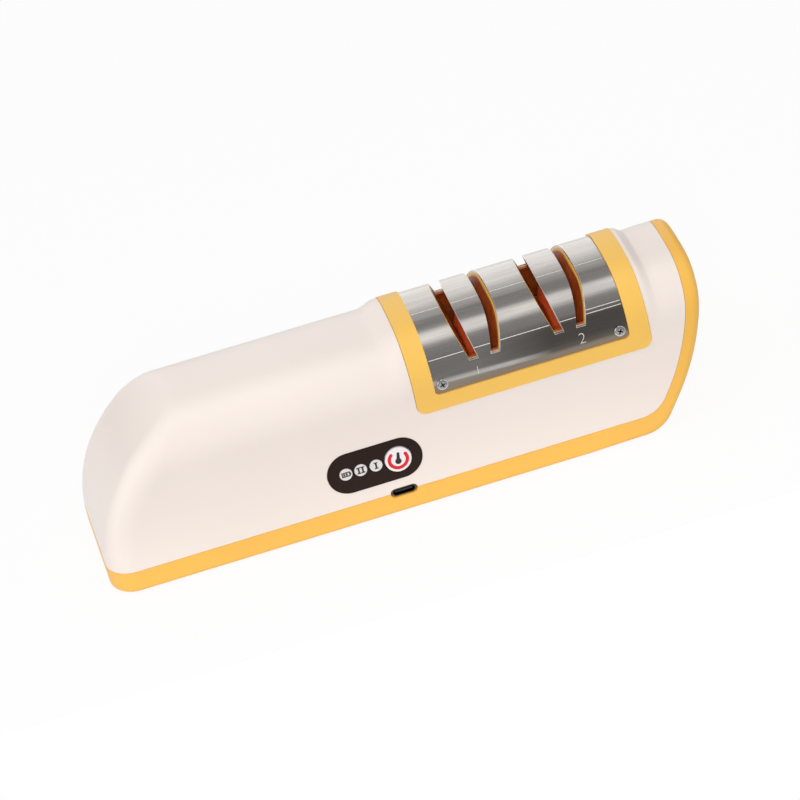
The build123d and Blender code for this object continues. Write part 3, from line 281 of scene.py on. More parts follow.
# %% Steel and the other metals
def brushed_steel(name, color, roughness, along=(1, 120, 120), depth=3e-6):
    """Metal with scratches, drawn out along the axis whose stretch is the smallest."""
    finish, shader = new_material(name, color, roughness, metallic=1.0)
    fine = noise(finish, place(finish, along), 0.02, detail=6.0, roughness=0.7)
    broad = noise(finish, place(finish, [1 + (s - 1) * 0.1 for s in along]), 0.03, detail=2.0)
    dark = [channel * 0.86 for channel in color[:3]] + [1.0]
    light = [min(1.0, channel * 1.1) for channel in color[:3]] + [1.0]
    join(finish, tint(finish, spread(finish, fine, 0, 1), dark, light), shader.inputs["Base Color"])
    gloss = spread(finish, broad, roughness * 0.8, roughness * 1.25)
    join(finish, gloss, shader.inputs["Roughness"])
    bumps(finish, shader, fine, depth)
    return finish


cover_steel = brushed_steel("cover_steel", srgb(203, 198, 193), 0.24)
turned_steel = brushed_steel("turned_steel", srgb(178, 178, 180), 0.28, along=(120, 1, 1))
screw_steel = brushed_steel("screw_steel", srgb(222, 220, 220), 0.14, along=(1, 1, 1), depth=1e-6)
brass = brushed_steel("brass", srgb(214, 178, 108), 0.25, along=(1, 1, 1), depth=1e-6)
bronze = brushed_steel("bronze", srgb(176, 126, 78), 0.38, along=(60, 1, 1), depth=2e-6)
polished = brushed_steel("polished", srgb(250, 248, 244), 0.3, along=(1, 1, 1), depth=1e-6)
# Painted shade: the dark steel that fills the screws' cross recesses.
recess_painted_shade = brushed_steel("recess_painted_shade", srgb(48, 42, 40), 0.5, along=(1, 1, 1), depth=1e-6)
dark_nickel = brushed_steel("dark_nickel", srgb(120, 100, 94), 0.35, along=(1, 1, 1), depth=1e-6)
zinc = brushed_steel("zinc", srgb(150, 152, 156), 0.42, along=(1, 1, 1), depth=5e-6)

# %% [markdown]
# The sheet isn't the same everywhere. Its lower right is darker, its lowest edge, next to the
# yellow frame, has a warm cast, and a long bright streak runs along it. All three are painted
# reflections: soft changes of the steel's own colour, painted along X and Z, that stand in for
# what the sheet mirrors. A Map Range node fades each in, and the streak's distance is taken
# from a line that falls slowly to the right.

# %% Painted reflections on the sheet
DARK_REFLECTION_FROM, DARK_REFLECTION_FULL = 32 * MM, 60 * MM  # along the body
DARK_REFLECTION_TOP, DARK_REFLECTION_BELOW = 58.5 * MM, 55.8 * MM  # fades out between these heights
DARK_REFLECTION_END, DARK_REFLECTION_OVER = 45.8 * MM, 47.4 * MM
WARM_REFLECTION_TOP, WARM_REFLECTION_BELOW = 49.0 * MM, 45.6 * MM
STREAK_HEIGHT, STREAK_FALL = 49.35 * MM, 0.037  # where its line meets X = 0, and its slope
STREAK_CORE, STREAK_HALF = 0.5 * MM, 1.3 * MM
STREAK_FADE = (44 * MM, 60 * MM)
DARK_REFLECTION_CAST, WARM_REFLECTION_CAST = (0.42, 0.40, 0.38, 1.0), (0.96, 0.82, 0.68, 1.0)  # what they multiply by
STREAK_COLOR = (1.0, 0.97, 0.93, 1.0)

shader = cover_steel.node_tree.nodes["Principled BSDF"]
plain = shader.inputs["Base Color"].links[0].from_socket
spot = add_node(cover_steel, "ShaderNodeSeparateXYZ")
join(cover_steel, place(cover_steel), spot.inputs[0])
# Painted reflections: the steel's colour is darkened at the lower right, warmed along its foot and
# brightened along a streak.
below = spread(cover_steel, spot.outputs["Z"], 0, 1, DARK_REFLECTION_TOP, DARK_REFLECTION_BELOW)
above = spread(cover_steel, spot.outputs["Z"], 0, 1, DARK_REFLECTION_END, DARK_REFLECTION_OVER)
right = spread(cover_steel, spot.outputs["X"], 0, 1, DARK_REFLECTION_FROM, DARK_REFLECTION_FULL)
dark_reflection = calculate(cover_steel, "MULTIPLY", right, calculate(cover_steel, "MULTIPLY", below, above))
warm_reflection = spread(cover_steel, spot.outputs["Z"], 0, 1, WARM_REFLECTION_TOP, WARM_REFLECTION_BELOW)
fall = calculate(cover_steel, "MULTIPLY", spot.outputs["X"], STREAK_FALL)
line = calculate(cover_steel, "SUBTRACT", STREAK_HEIGHT, fall)
above_line = calculate(cover_steel, "SUBTRACT", spot.outputs["Z"], line)
off_line = calculate(cover_steel, "ABSOLUTE", above_line)
across = spread(cover_steel, off_line, 1, 0, STREAK_CORE, STREAK_HALF)
along = spread(cover_steel, spot.outputs["X"], 1, 0, *STREAK_FADE)
painted_streak = calculate(cover_steel, "MULTIPLY", across, along)
tone = tint(cover_steel, dark_reflection, plain, DARK_REFLECTION_CAST, "MULTIPLY")
tone = tint(cover_steel, warm_reflection, tone, WARM_REFLECTION_CAST, "MULTIPLY")
tone = tint(cover_steel, painted_streak, tone, STREAK_COLOR)
join(cover_steel, tone, shader.inputs["Base Color"])

# %% [markdown]
# ## Bonded abrasive
#
# The wheels are grains of ruby-coloured abrasive in a resin bond. Up close the flank is a
# rough, sugary orange-red: bright grains, slightly darker pores between them and hardly any
# gloss. A Voronoi pattern gives the grains, half a millimetre wide on the coarse
# wheel and a third on the fine one, and a noise three times as wide gives the pores.

# %% Coarse and fine grit
def abrasive(name, grain, color, dark):
    """Grains of a width in metres, and the darker colour of the pores between them."""
    finish, shader = new_material(name, color, 0.85, specular=0.3)
    spots = place(finish)
    grains = add_node(finish, "ShaderNodeTexVoronoi", Scale=1 / grain)
    join(finish, spots, grains.inputs["Vector"])
    clouds = noise(finish, spots, grain * 3, detail=5.0, roughness=0.7)
    pores = spread(finish, clouds, 0, 1, 0.35, 0.65)
    join(finish, tint(finish, pores, dark, color), shader.inputs["Base Color"])
    first = bumps(finish, shader, grains.outputs["Distance"], grain * 0.35)
    bumps(finish, shader, clouds, grain * 0.5, before=first)
    return finish


coarse_grit = abrasive("coarse_grit", 0.0005, srgb(255, 124, 60), srgb(246, 100, 44))
fine_grit = abrasive("fine_grit", 0.0003, srgb(255, 120, 62), srgb(246, 100, 48))

# %% [markdown]
# ## Rubber, magnet, cell, circuit boards and leads
#
# The rest lies inside or under the body. Each gets the finish of the real thing: dull rubber
# with a fine grain, dark sintered ferrite, a shrink sleeve with a soft sheen, green solder
# mask with the faint relief of its tracks, and silicone insulation.

# %% The inner finishes
def dull(name, color, roughness, grain, depth):
    """A matt finish with specks of a width and a relief, both in metres."""
    finish, shader = new_material(name, color, roughness, specular=0.3)
    specks = noise(finish, place(finish), grain, detail=4.0)
    dark = [channel * 0.75 for channel in color[:3]] + [1.0]
    blotches = spread(finish, specks, 0, 1)
    join(finish, tint(finish, blotches, dark, color), shader.inputs["Base Color"])
    bumps(finish, shader, specks, depth)
    return finish


rubber = dull("rubber", srgb(40, 39, 38), 0.8, 0.0006, 2e-5)
ferrite = dull("ferrite", srgb(52, 50, 50), 0.6, 0.0004, 1e-5)
sleeve_film = moulded_plastic("sleeve_film", srgb(58, 112, 168), 0.3, drift=0.04, peel=6e-6)
insulation_red = moulded_plastic("insulation_red", srgb(178, 32, 26), 0.4, drift=0.05)


def solder_mask(name):
    """The green of a circuit board, with tracks laid out like bricks."""
    finish, shader = new_material(name, srgb(28, 92, 48), 0.35)
    tracks = add_node(finish, "ShaderNodeTexBrick", Scale=420.0)
    tracks.inputs["Color1"].default_value = srgb(34, 106, 56)
    tracks.inputs["Color2"].default_value = srgb(28, 92, 48)
    tracks.inputs["Mortar"].default_value = srgb(22, 74, 40)
    join(finish, place(finish), tracks.inputs["Vector"])
    join(finish, tracks.outputs["Color"], shader.inputs["Base Color"])
    bumps(finish, shader, tracks.outputs["Fac"], 2e-5)
    return finish


board_green = solder_mask("board_green")

# %% [markdown]
# ## Every CAD piece gets its finish
#
# The CAD nodes came in with the plain colours of their record. Those are taken off, and each
# node gets one of the finishes made above.

# %% Finishes for the CAD nodes
FINISHES = {
    white_shell: ["upper_shell"],
    yellow_plastic: ["lower_housing"],
    head_plastic: ["head_housing"],
    cover_steel: ["steel_cover"],
    panel_plastic: ["control_panel"],
    button_plastic: ["power_button"],
    lens_plastic: ["indicator_lenses", "indicator_leds"],
    natural_plastic: ["battery_holder", "shaft_coupling", "switch_plunger"],
    black_plastic: ["motor_end_cap", "board_components", "tact_switch", "usb_tongue"],
    turned_steel: [
        "drive_shaft", "wheel_washers", "left_sleeve", "middle_sleeve", "right_sleeve",
        "shaft_clip", "motor_can", "motor_armature", "motor_shaft", "motor_strap",
    ],
    dark_nickel: ["usb_socket"],
    screw_steel: [
        "cover_screws", "strap_screws", "board_screws", "switch_board_screws", "housing_screws",
        "head_screws",
    ],
    zinc: ["wheel_hubs"],
    bronze: ["left_bearing", "right_bearing"],
    brass: ["motor_terminals", "battery_contacts"],
    coarse_grit: ["coarse_wheel"],
    fine_grit: ["fine_wheel"],
    ferrite: ["motor_magnets"],
    sleeve_film: ["battery_cell"],
    board_green: ["main_board", "switch_board"],
    rubber: ["rubber_feet"],
    insulation_red: ["motor_leads", "battery_leads"],
}
for finish, names in FINISHES.items():
    for name in names:
        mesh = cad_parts[name].data
        mesh.materials.clear()
        mesh.materials.append(finish)
covered = sum(len(names) for names in FINISHES.values())
print("finished", covered, "of", len(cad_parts), "nodes")

# %% [markdown]
# ## Modelling helpers
#
# New pieces are made as by hand: a primitive is added, faces are picked by their place or
# normal, and then extruded, scaled or bevelled. The loaded model is still selected when the
# script starts, so everything is deselected before each primitive.

# %% Helpers for modelling
def new_start():
    """Object mode, with nothing selected."""
    if bpy.context.mode != "OBJECT":
        bpy.ops.object.mode_set(mode="OBJECT")
    bpy.ops.object.select_all(action="DESELECT")


def edit(piece):
    """Edit mode on one piece, with nothing selected in it."""
    bpy.context.view_layer.objects.active = piece
    piece.select_set(True)
    bpy.ops.object.mode_set(mode="EDIT")
    bpy.ops.mesh.select_all(action="DESELECT")


def choose(piece, kind, test):
    """Selects the faces, edges or verts that pass the test, and nothing else."""
    bpy.ops.mesh.select_mode(type={"faces": "FACE", "edges": "EDGE", "verts": "VERT"}[kind])
    bpy.ops.mesh.select_all(action="DESELECT")
    mesh = bmesh.from_edit_mesh(piece.data)
    for item in getattr(mesh, kind):
        item.select = bool(test(item))
    mesh.select_flush_mode()
    bmesh.update_edit_mesh(piece.data)


def apply_place(piece):
    """Puts the piece's place, turn and scale into its mesh: its object sits at the origin."""
    new_start()
    bpy.context.view_layer.objects.active = piece
    piece.select_set(True)
    bpy.ops.object.transform_apply(location=True, rotation=True, scale=True)


def add_box(location, scale, rotation=(0, 0, 0)):
    """A cube of unit size, scaled, turned and placed."""
    new_start()
    bpy.ops.mesh.primitive_cube_add(size=1.0, location=location, rotation=rotation, scale=scale)
    box = bpy.context.object
    apply_place(box)
    return box


def extrude(travel):
    """Extrudes what is selected and moves it on by a vector."""
    bpy.ops.mesh.extrude_region_move(TRANSFORM_OT_translate={"value": travel})


def apply_modifier(piece, kind, **values):
    """Adds a modifier, sets its properties and applies it."""
    modifier = piece.modifiers.new(kind.lower(), kind)
    for name, value in values.items():
        setattr(modifier, name, value)
    bpy.context.view_layer.objects.active = piece
    bpy.ops.object.modifier_apply(modifier=modifier.name)


def join_pieces(pieces, name):
    """Makes several pieces one."""
    new_start()
    for piece in pieces:
        piece.select_set(True)
    bpy.context.view_layer.objects.active = pieces[0]
    bpy.ops.object.join()
    pieces[0].name = name
    return pieces[0]


def complete(piece, name, finish, body, matrix=None, angle=35):
    """Names a piece, places it, gives it its finish and body, and prints its size."""
    new_start()
    piece.name = name
    piece.data.name = name
    if matrix is not None:
        piece.matrix_world = matrix
    apply_place(piece)
    edit(piece)
    bpy.ops.mesh.select_all(action="SELECT")
    bpy.ops.mesh.normals_make_consistent(inside=False)
    new_start()
    if len(piece.data.materials) < 2:
        piece.data.materials.clear()
        piece.data.materials.append(finish)
    piece.select_set(True)
    bpy.context.view_layer.objects.active = piece
    bpy.ops.object.shade_smooth_by_angle(angle=radians(angle))
    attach(piece, body)
    size = [round(side / MM, 2) for side in piece.dimensions]
    print(name, size, "mm,", len(piece.data.polygons), "faces")


# %% [markdown]
# ## The power symbol
#
# The power button carries a printed symbol: a red ring that is open at the top, and in it a
# dark stroke that widens into a round bulb. Print has a thickness, so both are thin solids.
# The ring is a small rectangle spun round the button's axis; its two ends are rounded by
# extruding them in short steps that get narrower. The symbol is drawn flat, with X to the
# right and Y up, and then moved on to the button's face, which leans back with the shell.

# %% Where the panel's faces are
LEAN_COS, LEAN_SIN = 0.99488, 0.10106  # the body's sides lean back by 5.8 degrees
OUT = Vector((0.0, -LEAN_COS, LEAN_SIN))  # straight out of the panel
UP = Vector((0.0, LEAN_SIN, LEAN_COS))  # up along it
PANEL_SPOT = Vector((-14.2, -29.434, 23.4)) * MM
PRINT = 0.07 * MM  # thickness of a print
SINK = 0.02 * MM  # its part below the face


def face_of(node):
    """How far the node's front face stands out of the shell's surface."""
    return max((vertex.co - PANEL_SPOT).dot(OUT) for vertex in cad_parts[node].data.vertices)


def on_panel(node, right, turn=0.0):
    """The matrix that puts a flat drawing on a face, right of the panel's middle and turned."""
    spot = PANEL_SPOT + Vector((right, 0, 0)) + OUT * (face_of(node) - SINK)
    matrix = Matrix.Identity(4)
    for column, axis in enumerate((Vector((1, 0, 0)), UP, OUT, spot)):
        for row in range(3):
            matrix[row][column] = axis[row]
    return matrix @ Matrix.Rotation(radians(turn), 4, "Z")


for node in ("power_button", "indicator_lenses", "control_panel"):
    print(node, "stands", round(face_of(node) / MM, 2), "mm out")

# %% Print colours
red_print = moulded_plastic("red_print", srgb(232, 24, 34), 0.35, drift=0.03, peel=1e-6)
dark_print = moulded_plastic("dark_print", srgb(46, 36, 34), 0.35, drift=0.05, peel=1e-6)

# %% The red ring
RING_R, RING_WIDTH = 3.42 * MM, 1.3 * MM
RING_FROM, RING_TURN, RING_STEPS = radians(143), radians(254), 56
SYMBOL_TURN = -8  # degrees: the symbol was printed a little askew
CAP_STEPS = [radians(angle) for angle in (30, 55, 75, 87)]

new_start()
bpy.ops.mesh.primitive_plane_add(
    size=1.0, location=(RING_R, 0, PRINT / 2), rotation=(pi / 2, 0, 0)
)
ring = bpy.context.object
ring.scale = (RING_WIDTH, PRINT, 1.0)
apply_place(ring)
edit(ring)
bpy.ops.mesh.select_all(action="SELECT")
bpy.ops.mesh.spin(steps=RING_STEPS, angle=RING_TURN, center=(0, 0, 0), axis=(0, 0, -1))
bpy.ops.mesh.select_all(action="SELECT")
bpy.ops.mesh.remove_doubles(threshold=1e-7)
bpy.ops.mesh.fill_holes(sides=0)
bpy.ops.mesh.normals_make_consistent(inside=False)
for turned, sense in ((0.0, -1), (RING_TURN, 1)):
    sideways = Vector((-sin(turned), cos(turned), 0)) * sense
    end = Vector((cos(turned), sin(turned), 0)) * RING_R
    choose(ring, "faces", lambda face: face.normal.dot(sideways) > 0.99
           and (face.calc_center_median() - end).length < RING_WIDTH / 2)
    before = 0.0
    for step in CAP_STEPS:
        extrude(sideways * RING_WIDTH / 2 * (sin(step) - sin(before)))
        middle = end + sideways * RING_WIDTH / 2 * sin(step)
        shrink = cos(step) / cos(before)
        bpy.ops.transform.resize(value=(shrink, shrink, 1), center_override=middle)
        before = step
new_start()
ring.rotation_euler = (0, 0, RING_FROM)
apply_place(ring)
BUTTON_X = 8.9 * MM
on_button = on_panel("power_button", BUTTON_X, SYMBOL_TURN)
complete(ring, "power_ring", red_print, "push_button", on_button)

# %% [markdown]
# The stroke starts as its bulb, a short round disc. The facets that face up are extruded
# upwards and narrowed three times: twice for the neck and once for the stroke's rounded top.

# %% The dark stroke
BULB_R, BULB_Y = 1.2 * MM, -0.72 * MM
NECK = ((0.85 * MM, 0.86), (1.5 * MM, 0.86), (0.2 * MM, 0.6))  # rise, and how much narrower

new_start()
bpy.ops.mesh.primitive_cylinder_add(
    vertices=32, radius=BULB_R, depth=PRINT, location=(0, BULB_Y, PRINT / 2)
)
stroke = bpy.context.object
apply_place(stroke)
edit(stroke)
choose(stroke, "faces", lambda face: face.normal.y > 0.8)
rise = BULB_Y + BULB_R
for climb, narrow in NECK:
    rise += climb
    extrude((0, climb, 0))
    bpy.ops.transform.resize(value=(narrow, 0.5, 1), center_override=(0, rise - 0.1 * MM, 0))
new_start()
complete(stroke, "power_stroke", dark_print, "push_button", on_button)

# %% [markdown]
# ## The indicator symbols
#
# The three round indicators show the two speeds, I and II, and the battery's charge. A serif
# numeral is a bar whose ends are cut off by two bisecting planes, and whose end pieces are
# pulled out sideways. The battery is a frame: a plate whose two faces are inset and bridged,
# which opens its middle, with its terminal extruded from one end and two bars of charge inside.

# %% The numerals I and II
STEM, SERIF, TALL = 0.66 * MM, 0.42 * MM, 2.7 * MM
PAIR_GAP = 1.55 * MM


def numeral(right):
    """One serif bar, drawn flat, its middle right of the symbol's middle."""
    bar = add_box((0, 0, PRINT / 2), (STEM, TALL, PRINT))
    edit(bar)
    for side in (-1, 1):
        bpy.ops.mesh.select_all(action="SELECT")
        bpy.ops.mesh.bisect(plane_co=(0, side * (TALL / 2 - SERIF), 0), plane_no=(0, 1, 0))
    for side in (-1, 1):
        choose(bar, "faces", lambda face: face.normal.x * side > 0.9
               and abs(face.calc_center_median().y) > TALL / 2 - SERIF)
        extrude((side * SERIF, 0, 0))
    new_start()
    bar.location = (right, 0, 0)
    apply_place(bar)
    return bar


LENS_X = (-11.2 * MM, -5.5 * MM, 0.4 * MM)
on_battery, on_two, on_one = [on_panel("indicator_lenses", right) for right in LENS_X]
complete(numeral(0), "symbol_one", dark_print, "housing", on_one)
two = join_pieces([numeral(-PAIR_GAP / 2), numeral(PAIR_GAP / 2)], "symbol_two")
complete(two, "symbol_two", dark_print, "housing", on_two)

# %% The battery
CASE = (3.3 * MM, 2.0 * MM)
RIM = 0.42 * MM
NUB = (0.34 * MM, 0.9 * MM)
CHARGE = (0.7 * MM, 0.96 * MM)
CHARGE_X = (-0.7 * MM, 0.28 * MM)
CHARGE_ROUND = 0.1 * MM

case = add_box((0, 0, PRINT / 2), (CASE[0], CASE[1], PRINT))
edit(case)
choose(case, "faces", lambda face: abs(face.normal.z) > 0.9)
bpy.ops.mesh.inset(thickness=RIM)
bpy.ops.mesh.bridge_edge_loops()
for side in (-1, 1):
    bpy.ops.mesh.select_all(action="SELECT")
    bpy.ops.mesh.bisect(plane_co=(0, side * NUB[1] / 2, 0), plane_no=(0, 1, 0))
choose(case, "faces", lambda face: face.normal.x > 0.9
       and abs(face.calc_center_median().y) < NUB[1] / 2
       and face.calc_center_median().x > 0.45 * CASE[0])
extrude((NUB[0], 0, 0))
new_start()
charges = []
for right in CHARGE_X:
    bar = add_box((right, 0, PRINT / 2), (CHARGE[0], CHARGE[1], PRINT))
    edit(bar)
    choose(bar, "edges", lambda edge: abs((edge.verts[0].co - edge.verts[1].co).z) > PRINT / 2)
    bpy.ops.mesh.bevel(offset=CHARGE_ROUND, segments=2)
    new_start()
    charges.append(bar)
battery = join_pieces([case] + charges, "symbol_battery")
complete(battery, "symbol_battery", dark_print, "housing", on_battery)

# %% [markdown]
# ## Marks on the steel
#
# The sheet is numbered: 1 beside the coarse wheel and 2 beside the fine one. The numerals are
# text, made a mesh, cut into level strips so that they can bend, and pressed on to the curved
# sheet by a Shrinkwrap modifier that projects them straight back. A Solidify modifier gives
# them the thickness of the etching's bright edge.

# %% The numerals 1 and 2
# The white of the etched numerals, and on the bend lines a painted highlight: the creases' glint.
etch_and_glint_white = moulded_plastic("etch_and_glint_white", srgb(226, 224, 220), 0.5, drift=0.04, peel=1e-6)
ETCH = 0.05 * MM
STRIPS = 9
DIGIT_SHARE = 0.73  # a digit's height as a share of the text's size
THINNER = 0.035  # how far the outline moves inwards, as a share of the height
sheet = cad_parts["steel_cover"]


def etched_numeral(body, right, low, tall):
    """A digit on the sheet: the X of its middle, the height of its foot, and how tall it is."""
    new_start()
    bpy.ops.object.text_add(location=(0, 0, 0))
    text = bpy.context.object
    text.data.body = body
    text.data.size = tall / DIGIT_SHARE
    text.data.align_x = "CENTER"
    text.data.offset = -THINNER * tall
    text.data.resolution_u = 6
    bpy.ops.object.convert(target="MESH")
    digit = bpy.context.object
    digit.rotation_euler = (pi / 2, 0, 0)
    digit.location = (right, -60 * MM, low)
    apply_place(digit)
    edit(digit)
    for strip in range(1, STRIPS):
        bpy.ops.mesh.select_all(action="SELECT")
        bpy.ops.mesh.bisect(plane_co=(0, 0, low + tall * strip / STRIPS), plane_no=(0, 0, 1))
    bpy.ops.mesh.select_all(action="SELECT")
    bpy.ops.mesh.remove_doubles(threshold=1e-6)
    new_start()
    apply_modifier(
        digit, "SHRINKWRAP", target=sheet, wrap_method="PROJECT", offset=ETCH,
        use_project_y=True, use_positive_direction=True, use_negative_direction=False,
    )
    apply_modifier(digit, "SOLIDIFY", thickness=1.6 * ETCH, offset=0.0)
    complete(digit, "numeral_" + body, etch_and_glint_white, "housing")


etched_numeral("1", 31.0 * MM, 47.4 * MM, 3.4 * MM)
etched_numeral("2", 71.3 * MM, 46.9 * MM, 4.5 * MM)

# %% [markdown]
# The sheet was pressed in steps, and each bend left a fine crease along it. A line is a
# hair-thin bar with rounded edges, half sunk in the steel, and its bright white, which isn't
# metal, is a painted highlight: the glint that the crease catches. The slots cut it, so it is a
# row of bars, each as long as the steel between two slots at that height.

# %% Bend lines
SHEET = (14.0 * MM, 88.5 * MM)
WHEELS = (34.75 * MM, 67.75 * MM)
LINE_WIDE, LINE_HIGH = 0.3 * MM, 0.16 * MM
LINE_SHORTER = 0.3 * MM  # than the steel between two slots
LINE_ROUND = 0.06 * MM
BENDS = ((65.7 * MM, 0), (56.7 * MM, 0), (57.85 * MM, 4))  # height, and the first bar drawn
SLOT_FOOT, SLOT_AWAY, SLOT_LEAN = 53.3 * MM, 4.15 * MM, radians(15)
SLOT_HALF, SLOT_FLARE = 1.7 * MM, 0.04
STRIP_X = 51 * MM  # the middle of the steel between the two pairs of slots


def slot_edges(height):
    """The four slots' left and right edges at a height, from the left."""
    rise = height - SLOT_FOOT
    middle = SLOT_AWAY + rise * tan(SLOT_LEAN)
    half = SLOT_HALF + SLOT_FLARE * rise
    middles = [wheel + side * middle for wheel in WHEELS for side in (-1, 1)]
    return [(x - half, x + half) for x in middles]


def on_sheet(height):
    """A point of the sheet's front at a height, and the direction straight out of it."""
    return sheet.ray_cast(Vector((STRIP_X, -0.1, height)), Vector((0, 1, 0)))[1:3]


lines = []
for height, first in BENDS:
    spot, normal = on_sheet(height)
    ends = [SHEET[0]] + [edge for pair in slot_edges(height) for edge in pair] + [SHEET[1]]
    tilt = atan2(normal.z, normal.y) - pi / 2
    for start, stop in list(zip(ends[::2], ends[1::2]))[first:]:
        bar = add_box(
            ((start + stop) / 2, spot.y, spot.z),
            (stop - start - LINE_SHORTER, LINE_WIDE, LINE_HIGH), (tilt, 0, 0),
        )
        edit(bar)
        choose(bar, "edges", lambda edge: abs((edge.verts[0].co - edge.verts[1].co).x) > MM)
        bpy.ops.mesh.bevel(offset=LINE_ROUND, segments=2)
        new_start()
        lines.append(bar)

bend_lines = join_pieces(lines, "bend_lines")
# The bend lines' white finish is a painted highlight.
complete(bend_lines, "bend_lines", etch_and_glint_white, "housing")

# %% [markdown]
# ## Screws in the sheet
#
# Four small pan-head screws hold the sheet. A screw is a short cylinder whose top edge is
# bevelled to a dome; its cross recess is cut by two thin tapered bars with the Boolean
# modifier, and the shank is extruded from an inset of its underside. It is modelled once,
# and its copies stand where the screws of the CAD model are, which they replace. The faces in
# the cross get a second, dark finish: painted shade in the recess.

# %% A pan-head screw
HEAD_R, HEAD_TALL = 2.2 * MM, 0.9 * MM
SHANK_R, SHANK = 1.0 * MM, 5.6 * MM
ARM, ARM_WIDE, ARM_DEEP = 3.0 * MM, 0.62 * MM, 0.65 * MM
ARM_TAPER = (0.45, 0.6, 1)  # its lower end as a share of its upper one
DOME = 0.62 * MM

new_start()
bpy.ops.mesh.primitive_cylinder_add(
    vertices=40, radius=HEAD_R, depth=HEAD_TALL, location=(0, 0, HEAD_TALL / 2)
)
screw = bpy.context.object
apply_place(screw)
edit(screw)
choose(screw, "edges", lambda edge: min(vertex.co.z for vertex in edge.verts) > 0.9 * HEAD_TALL)
bpy.ops.mesh.bevel(offset=DOME, segments=5)
choose(screw, "faces", lambda face: face.normal.z < -0.9)
bpy.ops.mesh.inset(thickness=HEAD_R - SHANK_R)
extrude((0, 0, -SHANK))
new_start()
for turn in (0, pi / 2):
    arm = add_box((0, 0, HEAD_TALL), (ARM, ARM_WIDE, 2 * ARM_DEEP))
    edit(arm)
    choose(arm, "faces", lambda face: face.normal.z < -0.9)
    bpy.ops.transform.resize(value=ARM_TAPER, center_override=(0, 0, 0))
    new_start()
    arm.rotation_euler = (0, 0, turn)
    apply_place(arm)
    apply_modifier(screw, "BOOLEAN", object=arm, operation="DIFFERENCE", solver="EXACT")
    bpy.data.objects.remove(arm)
# The second finish is painted shade for the faces in the cross.
for finish in (screw_steel, recess_painted_shade):
    screw.data.materials.append(finish)
edit(screw)
choose(screw, "faces", lambda face: (
    0.1 * MM < face.calc_center_median().z < HEAD_TALL - 0.01 * MM
    and face.calc_center_median().xy.length < ARM / 2 + 0.02 * MM
))
screw.active_material_index = 1
bpy.ops.object.material_slot_assign()
new_start()
shaded_faces = sum(face.material_index for face in screw.data.polygons)
print("screw", len(screw.data.polygons), "faces,", shaded_faces, "dark")

# %% Its four copies
def screw_place(right, side, turn):
    """The matrix of a screw in the sheet: at its head's underside, turned about its axis."""
    corners = [
        vertex.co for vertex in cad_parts["cover_screws"].data.vertices
        if abs(vertex.co.x - right) < 4 * MM and vertex.co.y * side > 0
    ]
    out = Vector((0.0, side * LEAN_COS, LEAN_SIN))
    top = max(corner.dot(out) for corner in corners)
    crown = [corner for corner in corners if corner.dot(out) > top - 0.05 * MM]
    middle = sum(crown, Vector()) / len(crown)
    upright = out.to_track_quat("Z", "Y").to_matrix().to_4x4()
    turned = Matrix.Rotation(radians(turn), 4, "Z")
    return Matrix.Translation(middle - out * HEAD_TALL) @ upright @ turned


SCREWS = ((17.0, -1, 20), (85.5, -1, 62), (17.0, 1, 35), (85.5, 1, 5))  # X, side, turn
copies = []
for right, side, turn in SCREWS:
    twin = screw.copy()
    twin.data = screw.data.copy()
    bpy.context.scene.collection.objects.link(twin)
    twin.matrix_world = screw_place(right * MM, side, turn)
    apply_place(twin)
    copies.append(twin)
bpy.data.objects.remove(screw)
sheet_screws = join_pieces(copies, "sheet_screws")
complete(sheet_screws, "sheet_screws", screw_steel, "housing", angle=25)
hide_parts("cover_screws")

# %% [markdown]
# ## The slots' rims
#
# Punched steel has a slight rounding along every cut, and that is what glints beside the
# slots. A copy of the sheet is merged, and the sharp edges round its slots are found: both
# their faces touch, one of them is the sheet's outside, and they lie away from the border.
# Only those at the bottom of a slot and on its right are kept, where the light catches them.
# They become a curve, which a bevel depth turns into a hair-thin rounded rim.

# %% Rounded cuts
RIM_R = 0.17 * MM
BOTTOM_EDGES = 53.9 * MM  # edges below it belong to the slots' bottoms
LOWEST_CUT = 51.5 * MM  # the sheet's own lower border is below it
BORDER = 1.2 * MM
outside_low, outside_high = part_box("steel_cover")


def outward(face):
    """Whether a face of the sheet belongs to its outside."""
    spot, normal = face.calc_center_median(), face.normal
    from_middle = Vector((0, spot.y, max(0.0, spot.z - ARCH_Z)))
    return abs(normal.x) < 0.1 and normal.dot(from_middle) > 0


def catches_light(spot):
    """Whether a spot of a rim is at the bottom of its slot or on the right of it."""
    if spot.z < BOTTOM_EDGES:
        return True
    edges = [(abs(spot.x - edge), side) for pair in slot_edges(spot.z)
             for side, edge in enumerate(pair)]
    return min(edges)[1] == 1


def inside_border(edge):
    """Whether an edge lies inside the sheet's border, not on it."""
    low, high = outside_low[0] + BORDER, outside_high[0] - BORDER
    return all(low < vertex.co.x < high and vertex.co.z > LOWEST_CUT for vertex in edge.verts)


new_start()
rims = sheet.copy()
rims.data = sheet.data.copy()
bpy.context.collection.objects.link(rims)
edit(rims)
bpy.ops.mesh.select_all(action="SELECT")
bpy.ops.mesh.remove_doubles(threshold=0.001 * MM)
choose(rims, "edges", lambda edge: (
    len(edge.link_faces) == 2
    and edge.calc_face_angle() > radians(60)
    and any(outward(face) for face in edge.link_faces)
    and inside_border(edge)
    and catches_light(sum((vertex.co for vertex in edge.verts), Vector()) / 2)
))
bpy.ops.mesh.select_all(action="INVERT")
bpy.ops.mesh.delete(type="EDGE")
new_start()
bpy.context.view_layer.objects.active = rims
rims.select_set(True)
bpy.ops.object.convert(target="CURVE")
rims = bpy.context.object
rims.data.bevel_depth = RIM_R
rims.data.bevel_resolution = 2
rims.data.use_fill_caps = True
bpy.ops.object.convert(target="MESH")
rims = bpy.context.object
print("rims", len(rims.data.polygons), "faces")
complete(rims, "slot_rims", polished, "housing", angle=60)

